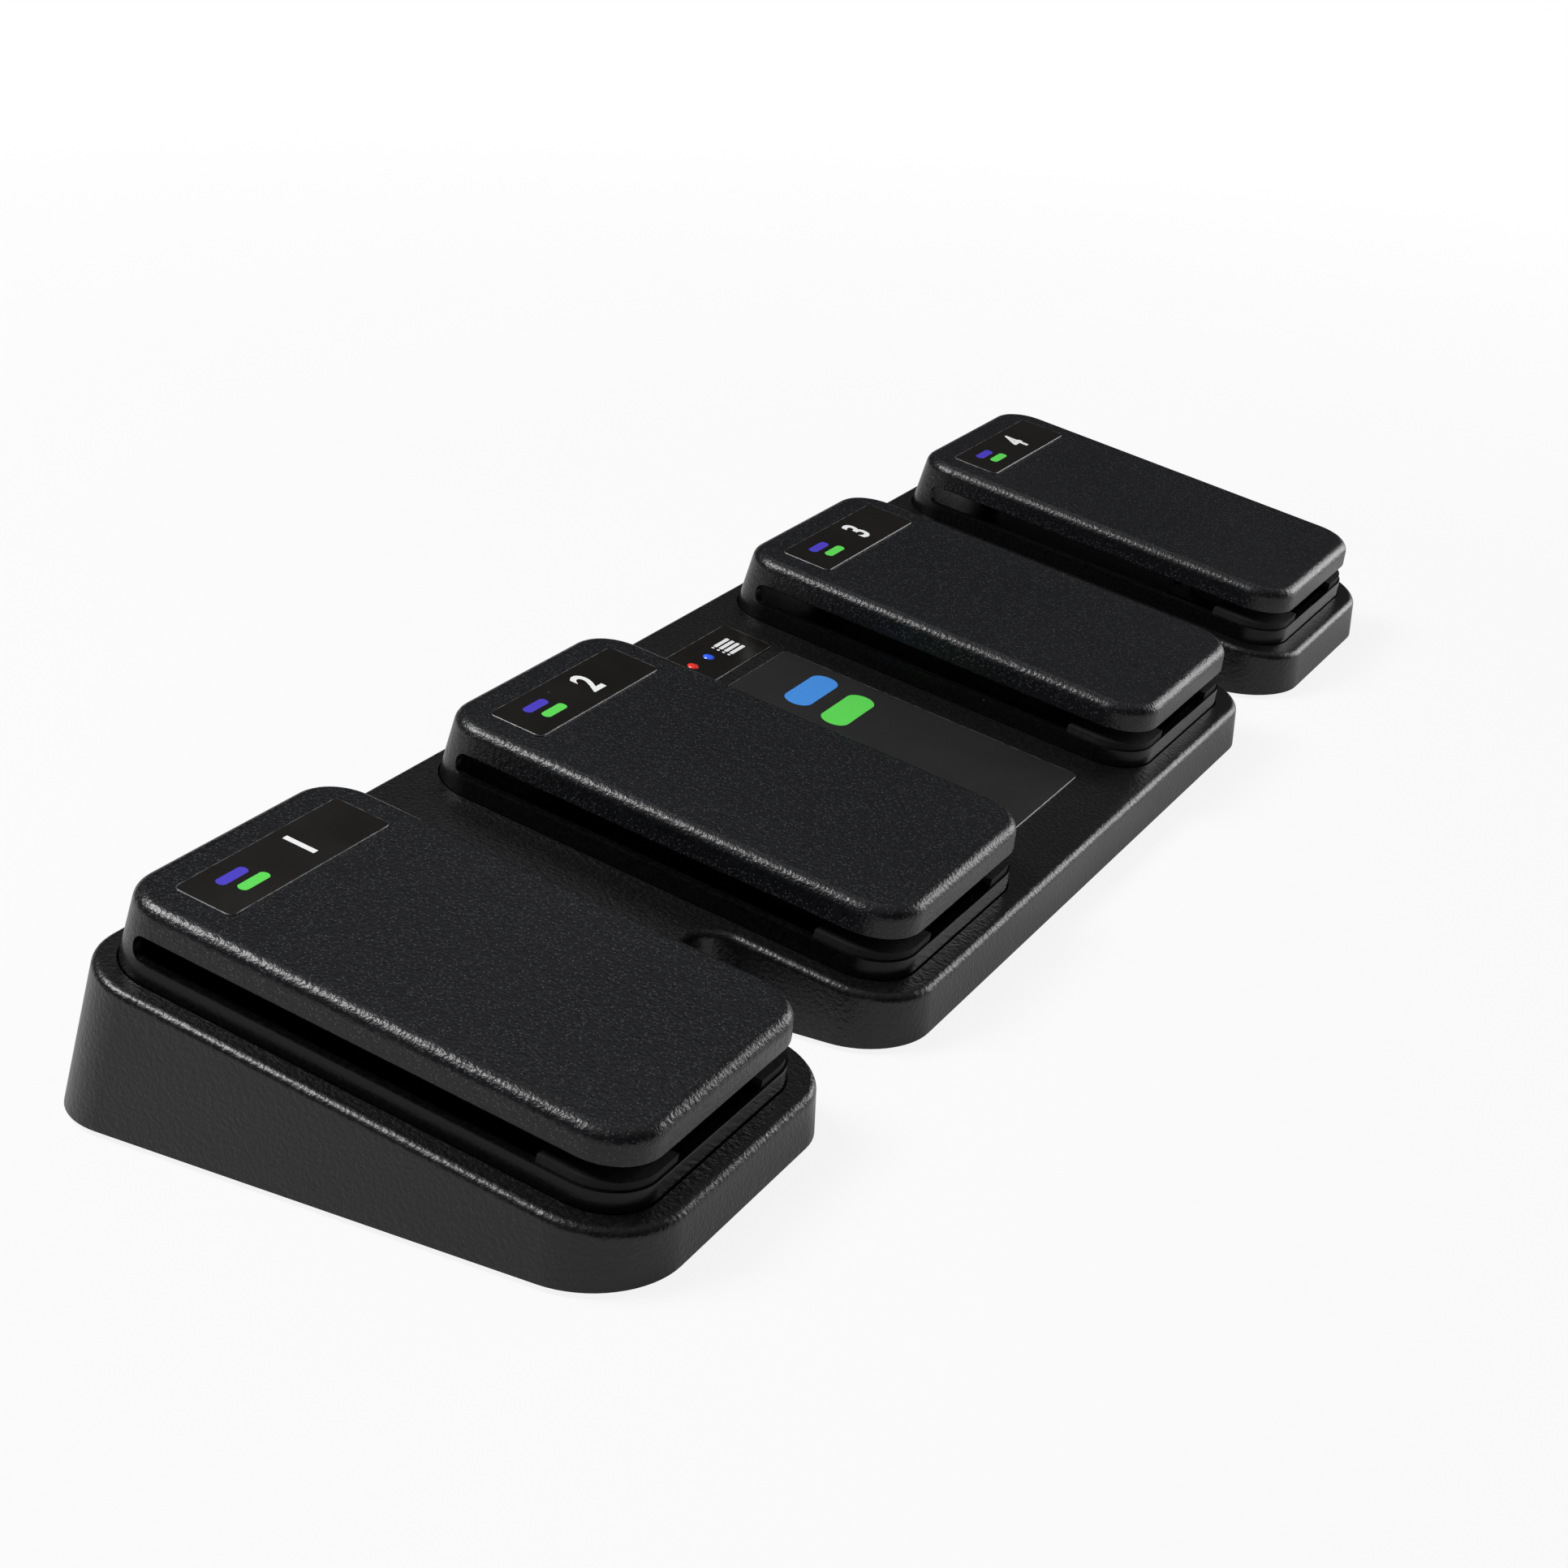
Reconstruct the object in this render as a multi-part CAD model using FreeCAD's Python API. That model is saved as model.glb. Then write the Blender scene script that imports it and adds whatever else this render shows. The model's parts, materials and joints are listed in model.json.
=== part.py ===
import FreeCAD, Part
import math
import os

# Four-pedal wireless foot switch. Millimetres and degrees, +Z up, +Y to the rear, +X to the
# player's right. The origin is on the floor under the middle of the casing's footprint.
# The deck is a sloped plane, and what stands on it is drawn flat, in (x, along the slope,
# square to the deck), and then tilted into place.

# Casing
BASE_WIDTH = 425.0
DECK_DEPTH = 121.1
FRONT_HEIGHT = 10.5
DECK_TILT = 10.1
SIDE_DRAFT = 2.5
REAR_DRAFT = 12.6
FRONT_CORNER = 18.0
REAR_CORNER = 15.0
BASE_EDGE_ROUND = 1.5
SHELL_WALL = 2.5
DECK_THICKNESS = 2.5
NOTCH_WIDTH = 24.5
NOTCH_DEPTH = 43.0
NOTCH_CORNER = 7.0
LOBE_CORNER = 15.0

# Pedals, measured where they meet the deck
PEDAL_WIDTH = 69.0
SIDE_MARGIN = 6.0
FRONT_MARGIN = 5.1
REAR_MARGIN = 3.7
MIDDLE_BAY = 65.8
PEDAL_HEIGHT = 15.3
PEDAL_CORNER = 12.0
PEDAL_DRAFT = 5.5
PEDAL_EDGE_ROUND = 2.6
PEDAL_WALL = 2.0
CAP_PLATE = 2.5
RIM_HEIGHT = 4.1
SLOT_HEIGHT = 4.9
HINGE_BAND = 7.7
PRESS_ANGLE = 1.5
TRAY_DEPTH = 4.5
TRAY_FLOOR = 2.0
FLANGE_WIDTH = 1.6
FLANGE_THICKNESS = 1.6
CAP_RIB = 1.6
CAP_RIB_DEPTH = 2.4
CAP_RIB_SPACING = 36.0
PEG_PROUD = 0.5

# Return dome, switch board and corner pads in each tray
DOME_INSET = 27.0
DOME_BASE = 14.0
DOME_TOP = 8.0
DOME_HEIGHT = 7.5
DOME_WALL = 1.1
DOME_FLANGE = 1.0
PLUNGER_DIAMETER = 7.0
BOARD_WIDTH = 26.0
BOARD_LENGTH = 22.0
BOARD_THICKNESS = 1.6
TACT_SIZE = 6.0
TACT_HEIGHT = 3.0
PEG_DIAMETER = 1.8
PEG_INSET = 2.6
CORNER_PAD = 19.0
CORNER_PAD_WIDTH = 7.0
CORNER_PAD_LIP = 0.6

# Labels
LABEL_THICKNESS = 0.25
LABEL_CORNER = 1.6
PEDAL_LABEL_WIDTH = 50.0
PEDAL_LABEL_LENGTH = 13.4
PEDAL_LABEL_MARGIN = 7.4
INDICATOR_WIDTH = 44.8
INDICATOR_LENGTH = 14.0
INDICATOR_INSET = 6.6
CENTRE_LABEL_INSET = 10.0
CENTRE_LABEL_GAP = 3.4

# Lights under the indicator label
LIGHT_DIAMETER = 2.8
RED_LIGHT_X = -4.8
BLUE_LIGHT_X = 2.9
LIGHTS_REARWARD = 0.4
LAMP_GAP = 0.6
LIGHT_COLLAR = 5.0
LIGHT_COLLAR_THICKNESS = 1.0
LED_SIZE = 3.0
LED_HEIGHT = 1.0

# Underside
FOOT_PROUD = 1.2
FOOT_DIAMETER = 16.0
FOOT_RECESS = 0.6
FOOT_INSET = 16.5
FOOT_EDGE_ROUND = 0.4
PLATE_THICKNESS = 2.0
BOSS_DIAMETER = 7.0
BOSS_RIB = 2.0
BOSS_MARGIN = 1.0
REAR_BOSS_HEIGHT = 12.0
REAR_BOSS_X = 42.0
REAR_BOSS_INSET = 32.5
FRONT_BOSS_GAP = 2.8
FRONT_BOSS_SETBACK = 9.5
SCREW_DIAMETER = 3.0
SCREW_LENGTH = 7.0
SCREW_HEAD = 5.6
SCREW_HEAD_HEIGHT = 1.4
DRIVE_SIZE = 1.6
DRIVE_DEPTH = 0.8

# Electronics in the middle bay
MAIN_BOARD_WIDTH = 56.0
MAIN_BOARD_LENGTH = 50.0
MAIN_BOARD_REAR_GAP = 7.0
STANDOFF_HEIGHT = 4.0
STANDOFF_DIAMETER = 4.5
STANDOFF_INSET = 4.0
RADIO_SIZE = (18.0, 14.0, 2.4)
RADIO_MARGIN = 5.0
BATTERY_SIZE = (46.0, 34.0, 6.0)
BATTERY_GAP = 4.0
BATTERY_PAD = 0.8
BATTERY_PAD_INSET = 3.0
BATTERY_EDGE_FLAT = 0.4
RIBBON_WIDTH = 6.0
RIBBON_THICKNESS = 0.8
RIBBON_SLOT_GAP = 0.5
RIBBON_LAP = 3.0
RIBBON_GAP = 2.5

# Rear controls
SOCKET_INSET = 1.5
SOCKET_SIZE = (9.0, 7.4, 3.3)
SOCKET_WALL = 0.4
SOCKET_MOUTH_DEPTH = 6.0
SOCKET_TONGUE = (6.7, 4.4, 0.7)
SOCKET_RECESS = 0.6
SWITCH_X = 4.0
SWITCH_BODY = (10.0, 3.5, 4.0)
SWITCH_SETBACK = 2.2
KNOB_WIDTH = 3.0
KNOB_HEIGHT = 1.8
KNOB_PROUD = 0.7
KNOB_GROOVE = 0.3
KNOB_GROOVE_DEPTH = 0.2
SWITCH_TRAVEL = 3.0
BUTTON_X = -14.0
BUTTON_DIAMETER = 5.0
BUTTON_PROUD = 0.8
BUTTON_FLANGE = 6.8
BUTTON_FLANGE_THICKNESS = 1.2
BUTTON_TRAVEL = 0.8
BUTTON_EDGE_ROUND = 0.6
BUTTON_SWITCH_SIZE = (6.0, 3.5, 5.0)
CONTROL_HEIGHT = 2.4

# Clearances
WELL_GAP = 0.3
PLATE_GAP = 0.3
PEG_GAP = 0.15
PAD_GAP = 0.3
LIGHT_GAP = 0.1
STOP_GAP = 0.3
WALL_HOLE_GAP = 0.3
SCREW_BITE = 0.3
THREAD_GAP = 0.05
SMALL_GAP = 0.2

# How far two pieces of one moulding run into each other where they are joined
EMBED = 1.0

V = FreeCAD.Vector
TILT = math.radians(DECK_TILT)
SIDE_LEAN = math.tan(math.radians(SIDE_DRAFT))
REAR_LEAN = math.tan(math.radians(REAR_DRAFT))
PEDAL_TAPER = math.tan(math.radians(PEDAL_DRAFT))
BASE_DEPTH = DECK_DEPTH + REAR_LEAN * (FRONT_HEIGHT + math.tan(TILT) * DECK_DEPTH)
PEDAL_DEPTH = DECK_DEPTH - FRONT_MARGIN - REAR_MARGIN
PEDAL_LENGTH = PEDAL_DEPTH / math.cos(TILT)
DECK_Y = FRONT_MARGIN + PEDAL_DEPTH / 2 - BASE_DEPTH / 2
DECK_Z = FOOT_PROUD + FRONT_HEIGHT + math.tan(TILT) * (FRONT_MARGIN + PEDAL_DEPTH / 2)
PEDAL_END = PEDAL_LENGTH / 2
OUTER_PEDAL_X = BASE_WIDTH / 2 - SIDE_MARGIN - PEDAL_WIDTH / 2
INNER_PEDAL_X = (MIDDLE_BAY + PEDAL_WIDTH) / 2
NOTCH_X = (OUTER_PEDAL_X + INNER_PEDAL_X) / 2
PEDAL_XS = (-OUTER_PEDAL_X, -INNER_PEDAL_X, INNER_PEDAL_X, OUTER_PEDAL_X)
CAP_BOTTOM = RIM_HEIGHT + SLOT_HEIGHT
CAP_CEILING = PEDAL_HEIGHT - CAP_PLATE
HINGE_V = PEDAL_END - PEDAL_WALL / 2
PRESS_DEPTH = (HINGE_V + PEDAL_END) * math.tan(math.radians(PRESS_ANGLE))
PLATE_TOP = FOOT_PROUD + PLATE_THICKNESS
BOARD_TOP = BOARD_THICKNESS - TRAY_DEPTH
MAIN_BOARD_BOTTOM = PLATE_TOP + STANDOFF_HEIGHT
MAIN_BOARD_TOP = MAIN_BOARD_BOTTOM + BOARD_THICKNESS
CONTROL_Z = MAIN_BOARD_TOP + CONTROL_HEIGHT
DOME_V = DOME_INSET - PEDAL_END
INDICATOR_V = PEDAL_END - INDICATOR_INSET - INDICATOR_LENGTH / 2
SOCKET_X = (MAIN_BOARD_WIDTH - SOCKET_SIZE[0]) / 2 - SOCKET_INSET
LIGHTS_V = INDICATOR_V + LIGHTS_REARWARD
LOFT_TOP = DECK_Z + BASE_DEPTH / 2


def save(name, shape):
    """Write one node, after checking that it is sound."""
    if not shape.isValid() or not shape.Solids:
        raise RuntimeError(name + " is not a sound solid")
    shape.exportStep("parts/" + name + ".step")


def outline(corners, height=0.0):
    """Closed wire round a list of (x, y, radius) corners."""
    spots = [V(x, y, height) for x, y, radius in corners]
    arcs = []
    for i, (x, y, radius) in enumerate(corners):
        back = (spots[i - 1] - spots[i]).normalize()
        ahead = (spots[(i + 1) % len(spots)] - spots[i]).normalize()
        half = back.getAngle(ahead) / 2
        middle = (back + ahead).normalize() * (radius / math.sin(half) - radius)
        reach = radius / math.tan(half)
        arcs.append((spots[i] + back * reach, spots[i] + middle, spots[i] + ahead * reach))
    edges = []
    for i, arc in enumerate(arcs):
        edges.append(Part.Arc(*arc).toShape())
        edges.append(Part.LineSegment(arc[2], arcs[(i + 1) % len(arcs)][0]).toShape())
    return Part.Wire(edges)


def rectangle(width, length, radius, centre=(0.0, 0.0), inset=0.0):
    """Corners of a rounded rectangle, drawn in by inset all round."""
    x, y = centre
    half_x, half_y = width / 2 - inset, length / 2 - inset
    signs = ((-1, -1), (1, -1), (1, 1), (-1, 1))
    return [(x + a * half_x, y + b * half_y, radius - inset) for a, b in signs]


def prism(corners, low, high):
    """Straight solid over an outline."""
    return Part.Face(outline(corners, low)).extrude(V(0, 0, high - low))


def block(size, centre, low):
    """Plain box on its own centre, standing at a height."""
    x, y, z = size
    return Part.makeBox(x, y, z, V(centre[0] - x / 2, centre[1] - y / 2, low))


def rod(diameter, length, start, direction=V(0, 0, 1)):
    """Cylinder from a start point along a direction."""
    return Part.makeCylinder(diameter / 2, length, start, direction)


def tilted(shape, x=0.0):
    """Move what was drawn flat on to the sloped deck, at a distance x from the middle."""
    placed = shape.copy()
    turn = FreeCAD.Rotation(V(1, 0, 0), DECK_TILT)
    placed.Placement = FreeCAD.Placement(V(x, DECK_Y, DECK_Z), turn)
    return placed


def under_deck(depth):
    """Everything below a plane that lies this far under the deck."""
    wide = 2 * BASE_WIDTH
    return tilted(Part.makeBox(wide, wide, wide, V(-wide / 2, -wide / 2, -depth - wide)))


def base_corners(inset, height):
    """Plan of the casing at a height, with its two notches, drawn in by inset."""
    lean = inset + SIDE_LEAN * (height - FOOT_PROUD)
    right = BASE_WIDTH / 2 - lean
    front = -BASE_DEPTH / 2 + inset
    rear = rear_wall_y(height) - inset
    corners = [(-right, front, FRONT_CORNER - inset)]
    for x in (-NOTCH_X, NOTCH_X):
        near, far = x - NOTCH_WIDTH / 2 - lean, x + NOTCH_WIDTH / 2 + lean
        end = -BASE_DEPTH / 2 + NOTCH_DEPTH + lean
        corners.append((near, front, LOBE_CORNER - inset))
        corners.append((near, end, NOTCH_CORNER + inset))
        corners.append((far, end, NOTCH_CORNER + inset))
        corners.append((far, front, LOBE_CORNER - inset))
    corners.append((right, front, FRONT_CORNER - inset))
    corners.append((right, rear, REAR_CORNER - inset))
    corners.append((-right, rear, REAR_CORNER - inset))
    return corners


def drafted_base(inset, depth):
    """Wedge with leaning walls and round corners, drawn in by inset, up to under the deck."""
    low, high = [[V(x, y, height) for x, y, radius in base_corners(inset, height)]
                 for height in (FOOT_PROUD, LOFT_TOP)]
    faces = [flat_face(low), flat_face(high)]
    for i in range(len(low)):
        faces.append(flat_face([low[i - 1], low[i], high[i], high[i - 1]]))
    wedge = Part.makeSolid(Part.makeShell(faces)).common(under_deck(depth))
    corners = base_corners(inset, FOOT_PROUD)
    for rounding in sorted({radius for x, y, radius in corners}):
        spots = [V(x, y, FOOT_PROUD) for x, y, radius in corners if radius == rounding]
        wedge = wedge.makeFillet(rounding, edges_from(wedge, spots))
    return wedge


def flat_face(points):
    return Part.Face(Part.makePolygon(points + points[:1]))


def edges_from(shape, spots):
    """Edges that rise from any of the given points."""
    found = []
    for edge in shape.Edges:
        low, high = sorted((vertex.Point for vertex in edge.Vertexes), key=lambda point: point.z)
        if high.z - low.z > EMBED and any(low.distanceToPoint(spot) < 0.001 for spot in spots):
            found.append(edge)
    return found


def edges_on_deck(shape):
    """Edges that lie in the plane of the deck."""
    normal = V(0, -math.sin(TILT), math.cos(TILT))
    middle = V(0, DECK_Y, DECK_Z)
    found = []
    for edge in shape.Edges:
        points = [edge.valueAt(edge.FirstParameter), edge.valueAt(edge.LastParameter)]
        if all(abs((point - middle).dot(normal)) < 0.001 for point in points):
            found.append(edge)
    return found


def boss_places():
    """Where the case screws go, as (x, y, height of the boss, how far its wall is)."""
    from_wall = SHELL_WALL + PLATE_GAP + SCREW_HEAD / 2 + BOSS_MARGIN
    rear = rear_wall_y(PLATE_TOP) - from_wall
    inner = -BASE_DEPTH / 2 + NOTCH_DEPTH + from_wall
    front = -BASE_DEPTH / 2 + FRONT_BOSS_SETBACK
    front_x = MIDDLE_BAY / 2 - FLANGE_WIDTH - FRONT_BOSS_GAP - BOSS_DIAMETER / 2
    places = []
    for side in (-1, 1):
        for x in (REAR_BOSS_X, NOTCH_X, BASE_WIDTH / 2 - REAR_BOSS_INSET):
            places.append((side * x, rear, REAR_BOSS_HEIGHT, from_wall))
        places.append((side * NOTCH_X, inner, LOFT_TOP, -from_wall))
        places.append((side * front_x, front, LOFT_TOP, -FRONT_BOSS_SETBACK))
    return places


def make_boss(x, y, height, reach):
    """Screw boss with a rib to the nearest wall, trimmed inside the shell."""
    boss = rod(BOSS_DIAMETER, height, V(x, y, PLATE_TOP))
    rib = block((BOSS_RIB, abs(reach), height), (x, y + reach / 2), PLATE_TOP)
    inside = drafted_base(SHELL_WALL / 2, DECK_THICKNESS / 2)
    return boss.fuse(rib).common(inside)


def foot_places():
    """Centres of the rubber feet, one at each corner of each part beside a notch."""
    xs = (BASE_WIDTH / 2 - FOOT_INSET, NOTCH_X - NOTCH_WIDTH / 2 - FOOT_INSET)
    y = BASE_DEPTH / 2 - FOOT_INSET
    return [(a * x, b * y) for x in xs for a in (-1, 1) for b in (-1, 1)]


def rear_wall_y(height):
    """Outside of the rear wall at a height."""
    return BASE_DEPTH / 2 - REAR_LEAN * (height - FOOT_PROUD)


def across_wall(width, height, radius, x, z):
    """Rounded slot cut straight through the rear wall."""
    flat = prism(rectangle(width, height, radius), 0, 4 * SHELL_WALL)
    flat.rotate(V(0, 0, 0), V(1, 0, 0), 90)
    flat.translate(V(x, rear_wall_y(z) + SHELL_WALL, z))
    return flat


def make_base_shell():
    """Wedge-shaped casing, open below, with a well for each pedal."""
    body = drafted_base(0.0, 0.0)
    body = body.makeFillet(BASE_EDGE_ROUND, edges_on_deck(body))
    shell = body.cut(drafted_base(SHELL_WALL, DECK_THICKNESS))
    shell = shell.fuse([make_boss(*place) for place in boss_places()]).removeSplitter()
    holes = []
    for x, y, height, reach in boss_places():
        bite = SCREW_DIAMETER - 2 * SCREW_BITE
        holes.append(rod(bite, SCREW_LENGTH - PLATE_THICKNESS + SMALL_GAP, V(x, y, PLATE_TOP)))
    well = prism(tray_corners(-WELL_GAP), -TRAY_DEPTH - TRAY_FLOOR - WELL_GAP, RIM_HEIGHT)
    holes += [tilted(well, x) for x in PEDAL_XS]
    for x in (RED_LIGHT_X, BLUE_LIGHT_X):
        start = V(x, LIGHTS_V, -2 * DECK_THICKNESS)
        holes.append(tilted(rod(LIGHT_DIAMETER + 2 * LIGHT_GAP, 4 * DECK_THICKNESS, start)))
    return shell.cut(holes + rear_openings())


def rear_openings():
    """Holes in the rear wall for the charging socket, the power switch and the button."""
    gap = 2 * WALL_HOLE_GAP
    width, length, height = SOCKET_SIZE
    socket = across_wall(width + gap, height + gap, round_end(height + gap), SOCKET_X,
                         MAIN_BOARD_TOP + height / 2)
    knob = across_wall(KNOB_WIDTH + SWITCH_TRAVEL + gap, KNOB_HEIGHT + gap, WALL_HOLE_GAP,
                       SWITCH_X + SWITCH_TRAVEL / 2, CONTROL_Z)
    start = V(BUTTON_X, rear_wall_y(CONTROL_Z) - 2 * SHELL_WALL, CONTROL_Z)
    button = rod(BUTTON_DIAMETER + gap, 4 * SHELL_WALL, start, V(0, 1, 0))
    return [socket, knob, button]


def round_end(height):
    """Corner radius that makes the ends of a slot round but for a short flat."""
    return height / 2 - 0.01


def make_bottom_plate():
    """Flat closing plate with screw holes, foot recesses and board standoffs."""
    plate = prism(base_corners(SHELL_WALL + PLATE_GAP, PLATE_TOP), FOOT_PROUD, PLATE_TOP)
    posts = []
    for x, y in main_board_corners():
        posts.append(rod(STANDOFF_DIAMETER, STANDOFF_HEIGHT, V(x, y, PLATE_TOP)))
        posts.append(rod(PEG_DIAMETER, STANDOFF_HEIGHT + BOARD_THICKNESS, V(x, y, PLATE_TOP)))
    plate = plate.fuse(posts).removeSplitter()
    holes = []
    for x, y, height, reach in boss_places():
        holes.append(rod(SCREW_DIAMETER + 2 * SMALL_GAP, PLATE_THICKNESS, V(x, y, FOOT_PROUD)))
        holes.append(screw_head(x, y, SMALL_GAP))
    for x, y in foot_places():
        holes.append(rod(FOOT_DIAMETER + 2 * SMALL_GAP, FOOT_RECESS, V(x, y, FOOT_PROUD)))
    return plate.cut(holes)


def screw_head(x, y, grow=0.0):
    """Countersunk head with its flat side down, level with the plate."""
    top = SCREW_DIAMETER / 2 + grow
    return Part.makeCone(SCREW_HEAD / 2 + grow, top, SCREW_HEAD_HEIGHT + grow, V(x, y, FOOT_PROUD))


def make_screw(x, y):
    """One countersunk case screw, head down, with a square drive."""
    thread = SCREW_DIAMETER - 2 * SCREW_BITE - 2 * THREAD_GAP
    shank = rod(SCREW_DIAMETER, PLATE_THICKNESS, V(x, y, FOOT_PROUD))
    tip = rod(thread, SCREW_LENGTH, V(x, y, FOOT_PROUD))
    drive = block((DRIVE_SIZE, DRIVE_SIZE, DRIVE_DEPTH), (x, y), FOOT_PROUD)
    return screw_head(x, y).fuse([shank, tip]).removeSplitter().cut(drive)


def make_screws():
    return Part.makeCompound([make_screw(x, y) for x, y, height, reach in boss_places()])


def make_foot(x, y):
    """Round rubber foot with a softened lower edge."""
    foot = rod(FOOT_DIAMETER, FOOT_PROUD + FOOT_RECESS, V(x, y, 0))
    lower = [edge for edge in foot.Edges if edge.BoundBox.ZMax < 0.001]
    return foot.makeFillet(FOOT_EDGE_ROUND, lower)


def pedal_wedge(inset, low, high):
    """Drafted pedal body between two heights above the deck, drawn in by inset."""
    wires = []
    for height in (low, high):
        drawn = inset + PEDAL_TAPER * height
        wires.append(outline(rectangle(PEDAL_WIDTH, PEDAL_LENGTH, PEDAL_CORNER, inset=drawn), height))
    return Part.makeLoft(wires, True, True)


def make_cap():
    """Pressed plate of one pedal: a shallow hollow lid with ribs and the dome's plunger."""
    lid = pedal_wedge(0.0, CAP_BOTTOM, PEDAL_HEIGHT)
    top = [edge for edge in lid.Edges if edge.BoundBox.ZMin > PEDAL_HEIGHT - 0.001]
    lid = lid.makeFillet(PEDAL_EDGE_ROUND, top)
    lid = lid.cut(pedal_wedge(PEDAL_WALL, CAP_BOTTOM - EMBED, CAP_CEILING))
    rib_length = PEDAL_LENGTH - 2 * PEDAL_WALL
    adds = []
    for side in (-1, 1):
        rib = block((CAP_RIB, rib_length, CAP_RIB_DEPTH + EMBED), (side * CAP_RIB_SPACING / 2, 0),
                    CAP_CEILING - CAP_RIB_DEPTH)
        adds.append(rib)
    plunger_end = BOARD_TOP + DOME_HEIGHT
    adds.append(rod(PLUNGER_DIAMETER, CAP_CEILING + EMBED - plunger_end,
                    V(0, DOME_V, plunger_end)))
    return lid.fuse(adds).removeSplitter()


def slot_cutter():
    """Slot between cap and rim: open at the front and sides, with a round rear end."""
    rear = PEDAL_END - HINGE_BAND
    radius = SLOT_HEIGHT / 2
    front = -PEDAL_LENGTH
    middle = RIM_HEIGHT + radius
    x = -PEDAL_WIDTH
    box = Part.makeBox(2 * PEDAL_WIDTH, rear - radius - front, SLOT_HEIGHT, V(x, front, RIM_HEIGHT))
    end = rod(SLOT_HEIGHT, 2 * PEDAL_WIDTH, V(x, rear - radius, middle), V(1, 0, 0))
    return box.fuse(end).removeSplitter()


def make_hinge():
    """Thin flexing wall behind the slot that joins cap and frame."""
    wall = pedal_wedge(0.0, RIM_HEIGHT, CAP_BOTTOM).cut(pedal_wedge(PEDAL_WALL, RIM_HEIGHT, CAP_BOTTOM))
    return wall.cut(slot_cutter())


def tray_corners(inset):
    return rectangle(PEDAL_WIDTH, PEDAL_LENGTH, PEDAL_CORNER, inset=inset)


def make_frame():
    """Raised rim, sunken tray and the side flanges that are bonded under the deck."""
    tray = prism(tray_corners(0.0), -TRAY_DEPTH - TRAY_FLOOR, 0.0)
    rim = pedal_wedge(0.0, 0.0, RIM_HEIGHT)
    flange_top = -DECK_THICKNESS
    across = rectangle(PEDAL_WIDTH + 2 * FLANGE_WIDTH, PEDAL_LENGTH, PEDAL_CORNER)
    flange = prism(across, flange_top - FLANGE_THICKNESS, flange_top)
    body = tray.fuse([rim, flange]).removeSplitter()
    hollow = prism(tray_corners(PEDAL_WALL), -TRAY_DEPTH, 0.0)
    rim_hollow = pedal_wedge(PEDAL_WALL, 0.0, RIM_HEIGHT)
    slot = block((RIBBON_WIDTH + 2 * RIBBON_SLOT_GAP, RIBBON_THICKNESS + 2 * RIBBON_SLOT_GAP,
                  TRAY_FLOOR), (0, ribbon_v()), -TRAY_DEPTH - TRAY_FLOOR)
    body = body.cut([hollow, rim_hollow, slot])
    long = BOARD_THICKNESS + PEG_PROUD
    pegs = [rod(PEG_DIAMETER, long, V(x, y, -TRAY_DEPTH)) for x, y in board_pegs()]
    return body.fuse(pegs).removeSplitter()


def ribbon_v():
    """Where the ribbon leaves the tray, just behind the switch board."""
    return DOME_V + BOARD_LENGTH / 2 + RIBBON_THICKNESS / 2 + RIBBON_SLOT_GAP


def board_pegs():
    """Two locating pegs of the switch board, on a diagonal."""
    half_x, half_y = BOARD_WIDTH / 2 - PEG_INSET, BOARD_LENGTH / 2 - PEG_INSET
    return [(-half_x, DOME_V - half_y), (half_x, DOME_V + half_y)]


def make_switch_board():
    """Switch board with its tactile switch, lying on the tray's floor."""
    board = block((BOARD_WIDTH, BOARD_LENGTH, BOARD_THICKNESS), (0, DOME_V), -TRAY_DEPTH)
    switch = block((TACT_SIZE, TACT_SIZE, TACT_HEIGHT), (0, DOME_V), BOARD_TOP)
    board = board.fuse(switch).removeSplitter()
    holes = []
    for x, y in board_pegs():
        holes.append(rod(PEG_DIAMETER + 2 * PEG_GAP, BOARD_THICKNESS, V(x, y, -TRAY_DEPTH)))
    return board.cut(holes)


def make_dome():
    """Silicone dome over the tactile switch, which pushes the cap back up."""
    foot = V(0, DOME_V, BOARD_TOP)
    outer = Part.makeCone(DOME_BASE / 2, DOME_TOP / 2, DOME_HEIGHT, foot)
    inner = Part.makeCone(DOME_BASE / 2 - DOME_WALL, DOME_TOP / 2 - DOME_WALL,
                          DOME_HEIGHT - 2 * DOME_WALL, foot)
    skirt = rod(DOME_BASE + 2 * DOME_FLANGE, DOME_FLANGE, foot)
    return outer.fuse(skirt).removeSplitter().cut(inner)


def make_corner_pads():
    """Two soft stops in the front corners of the tray, lapping the rim under the cap."""
    top = CAP_BOTTOM - PRESS_DEPTH - STOP_GAP
    rim_edge = PEDAL_TAPER * RIM_HEIGHT
    edge = PEDAL_WALL + PAD_GAP + rim_edge
    outer = prism(tray_corners(edge), -TRAY_DEPTH, top)
    lip = prism(tray_corners(rim_edge + CORNER_PAD_LIP), RIM_HEIGHT, top)
    inner = prism(tray_corners(edge + CORNER_PAD_WIDTH), -TRAY_DEPTH, top)
    ring = outer.fuse(lip).removeSplitter().cut(inner)
    front = CORNER_PAD - PEDAL_END
    side = PEDAL_WIDTH / 2 - CORNER_PAD
    tall = PEDAL_LENGTH
    left = Part.makeBox(tall, tall, tall, V(-side - tall, front - tall, -tall / 2))
    right = Part.makeBox(tall, tall, tall, V(side, front - tall, -tall / 2))
    return Part.makeCompound([ring.common(left), ring.common(right)])


def make_label(width, length, centre, height):
    """Thin printed label, drawn flat at a height above the deck."""
    corners = rectangle(width, length, LABEL_CORNER, centre=centre)
    return prism(corners, height, height + LABEL_THICKNESS)


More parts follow.
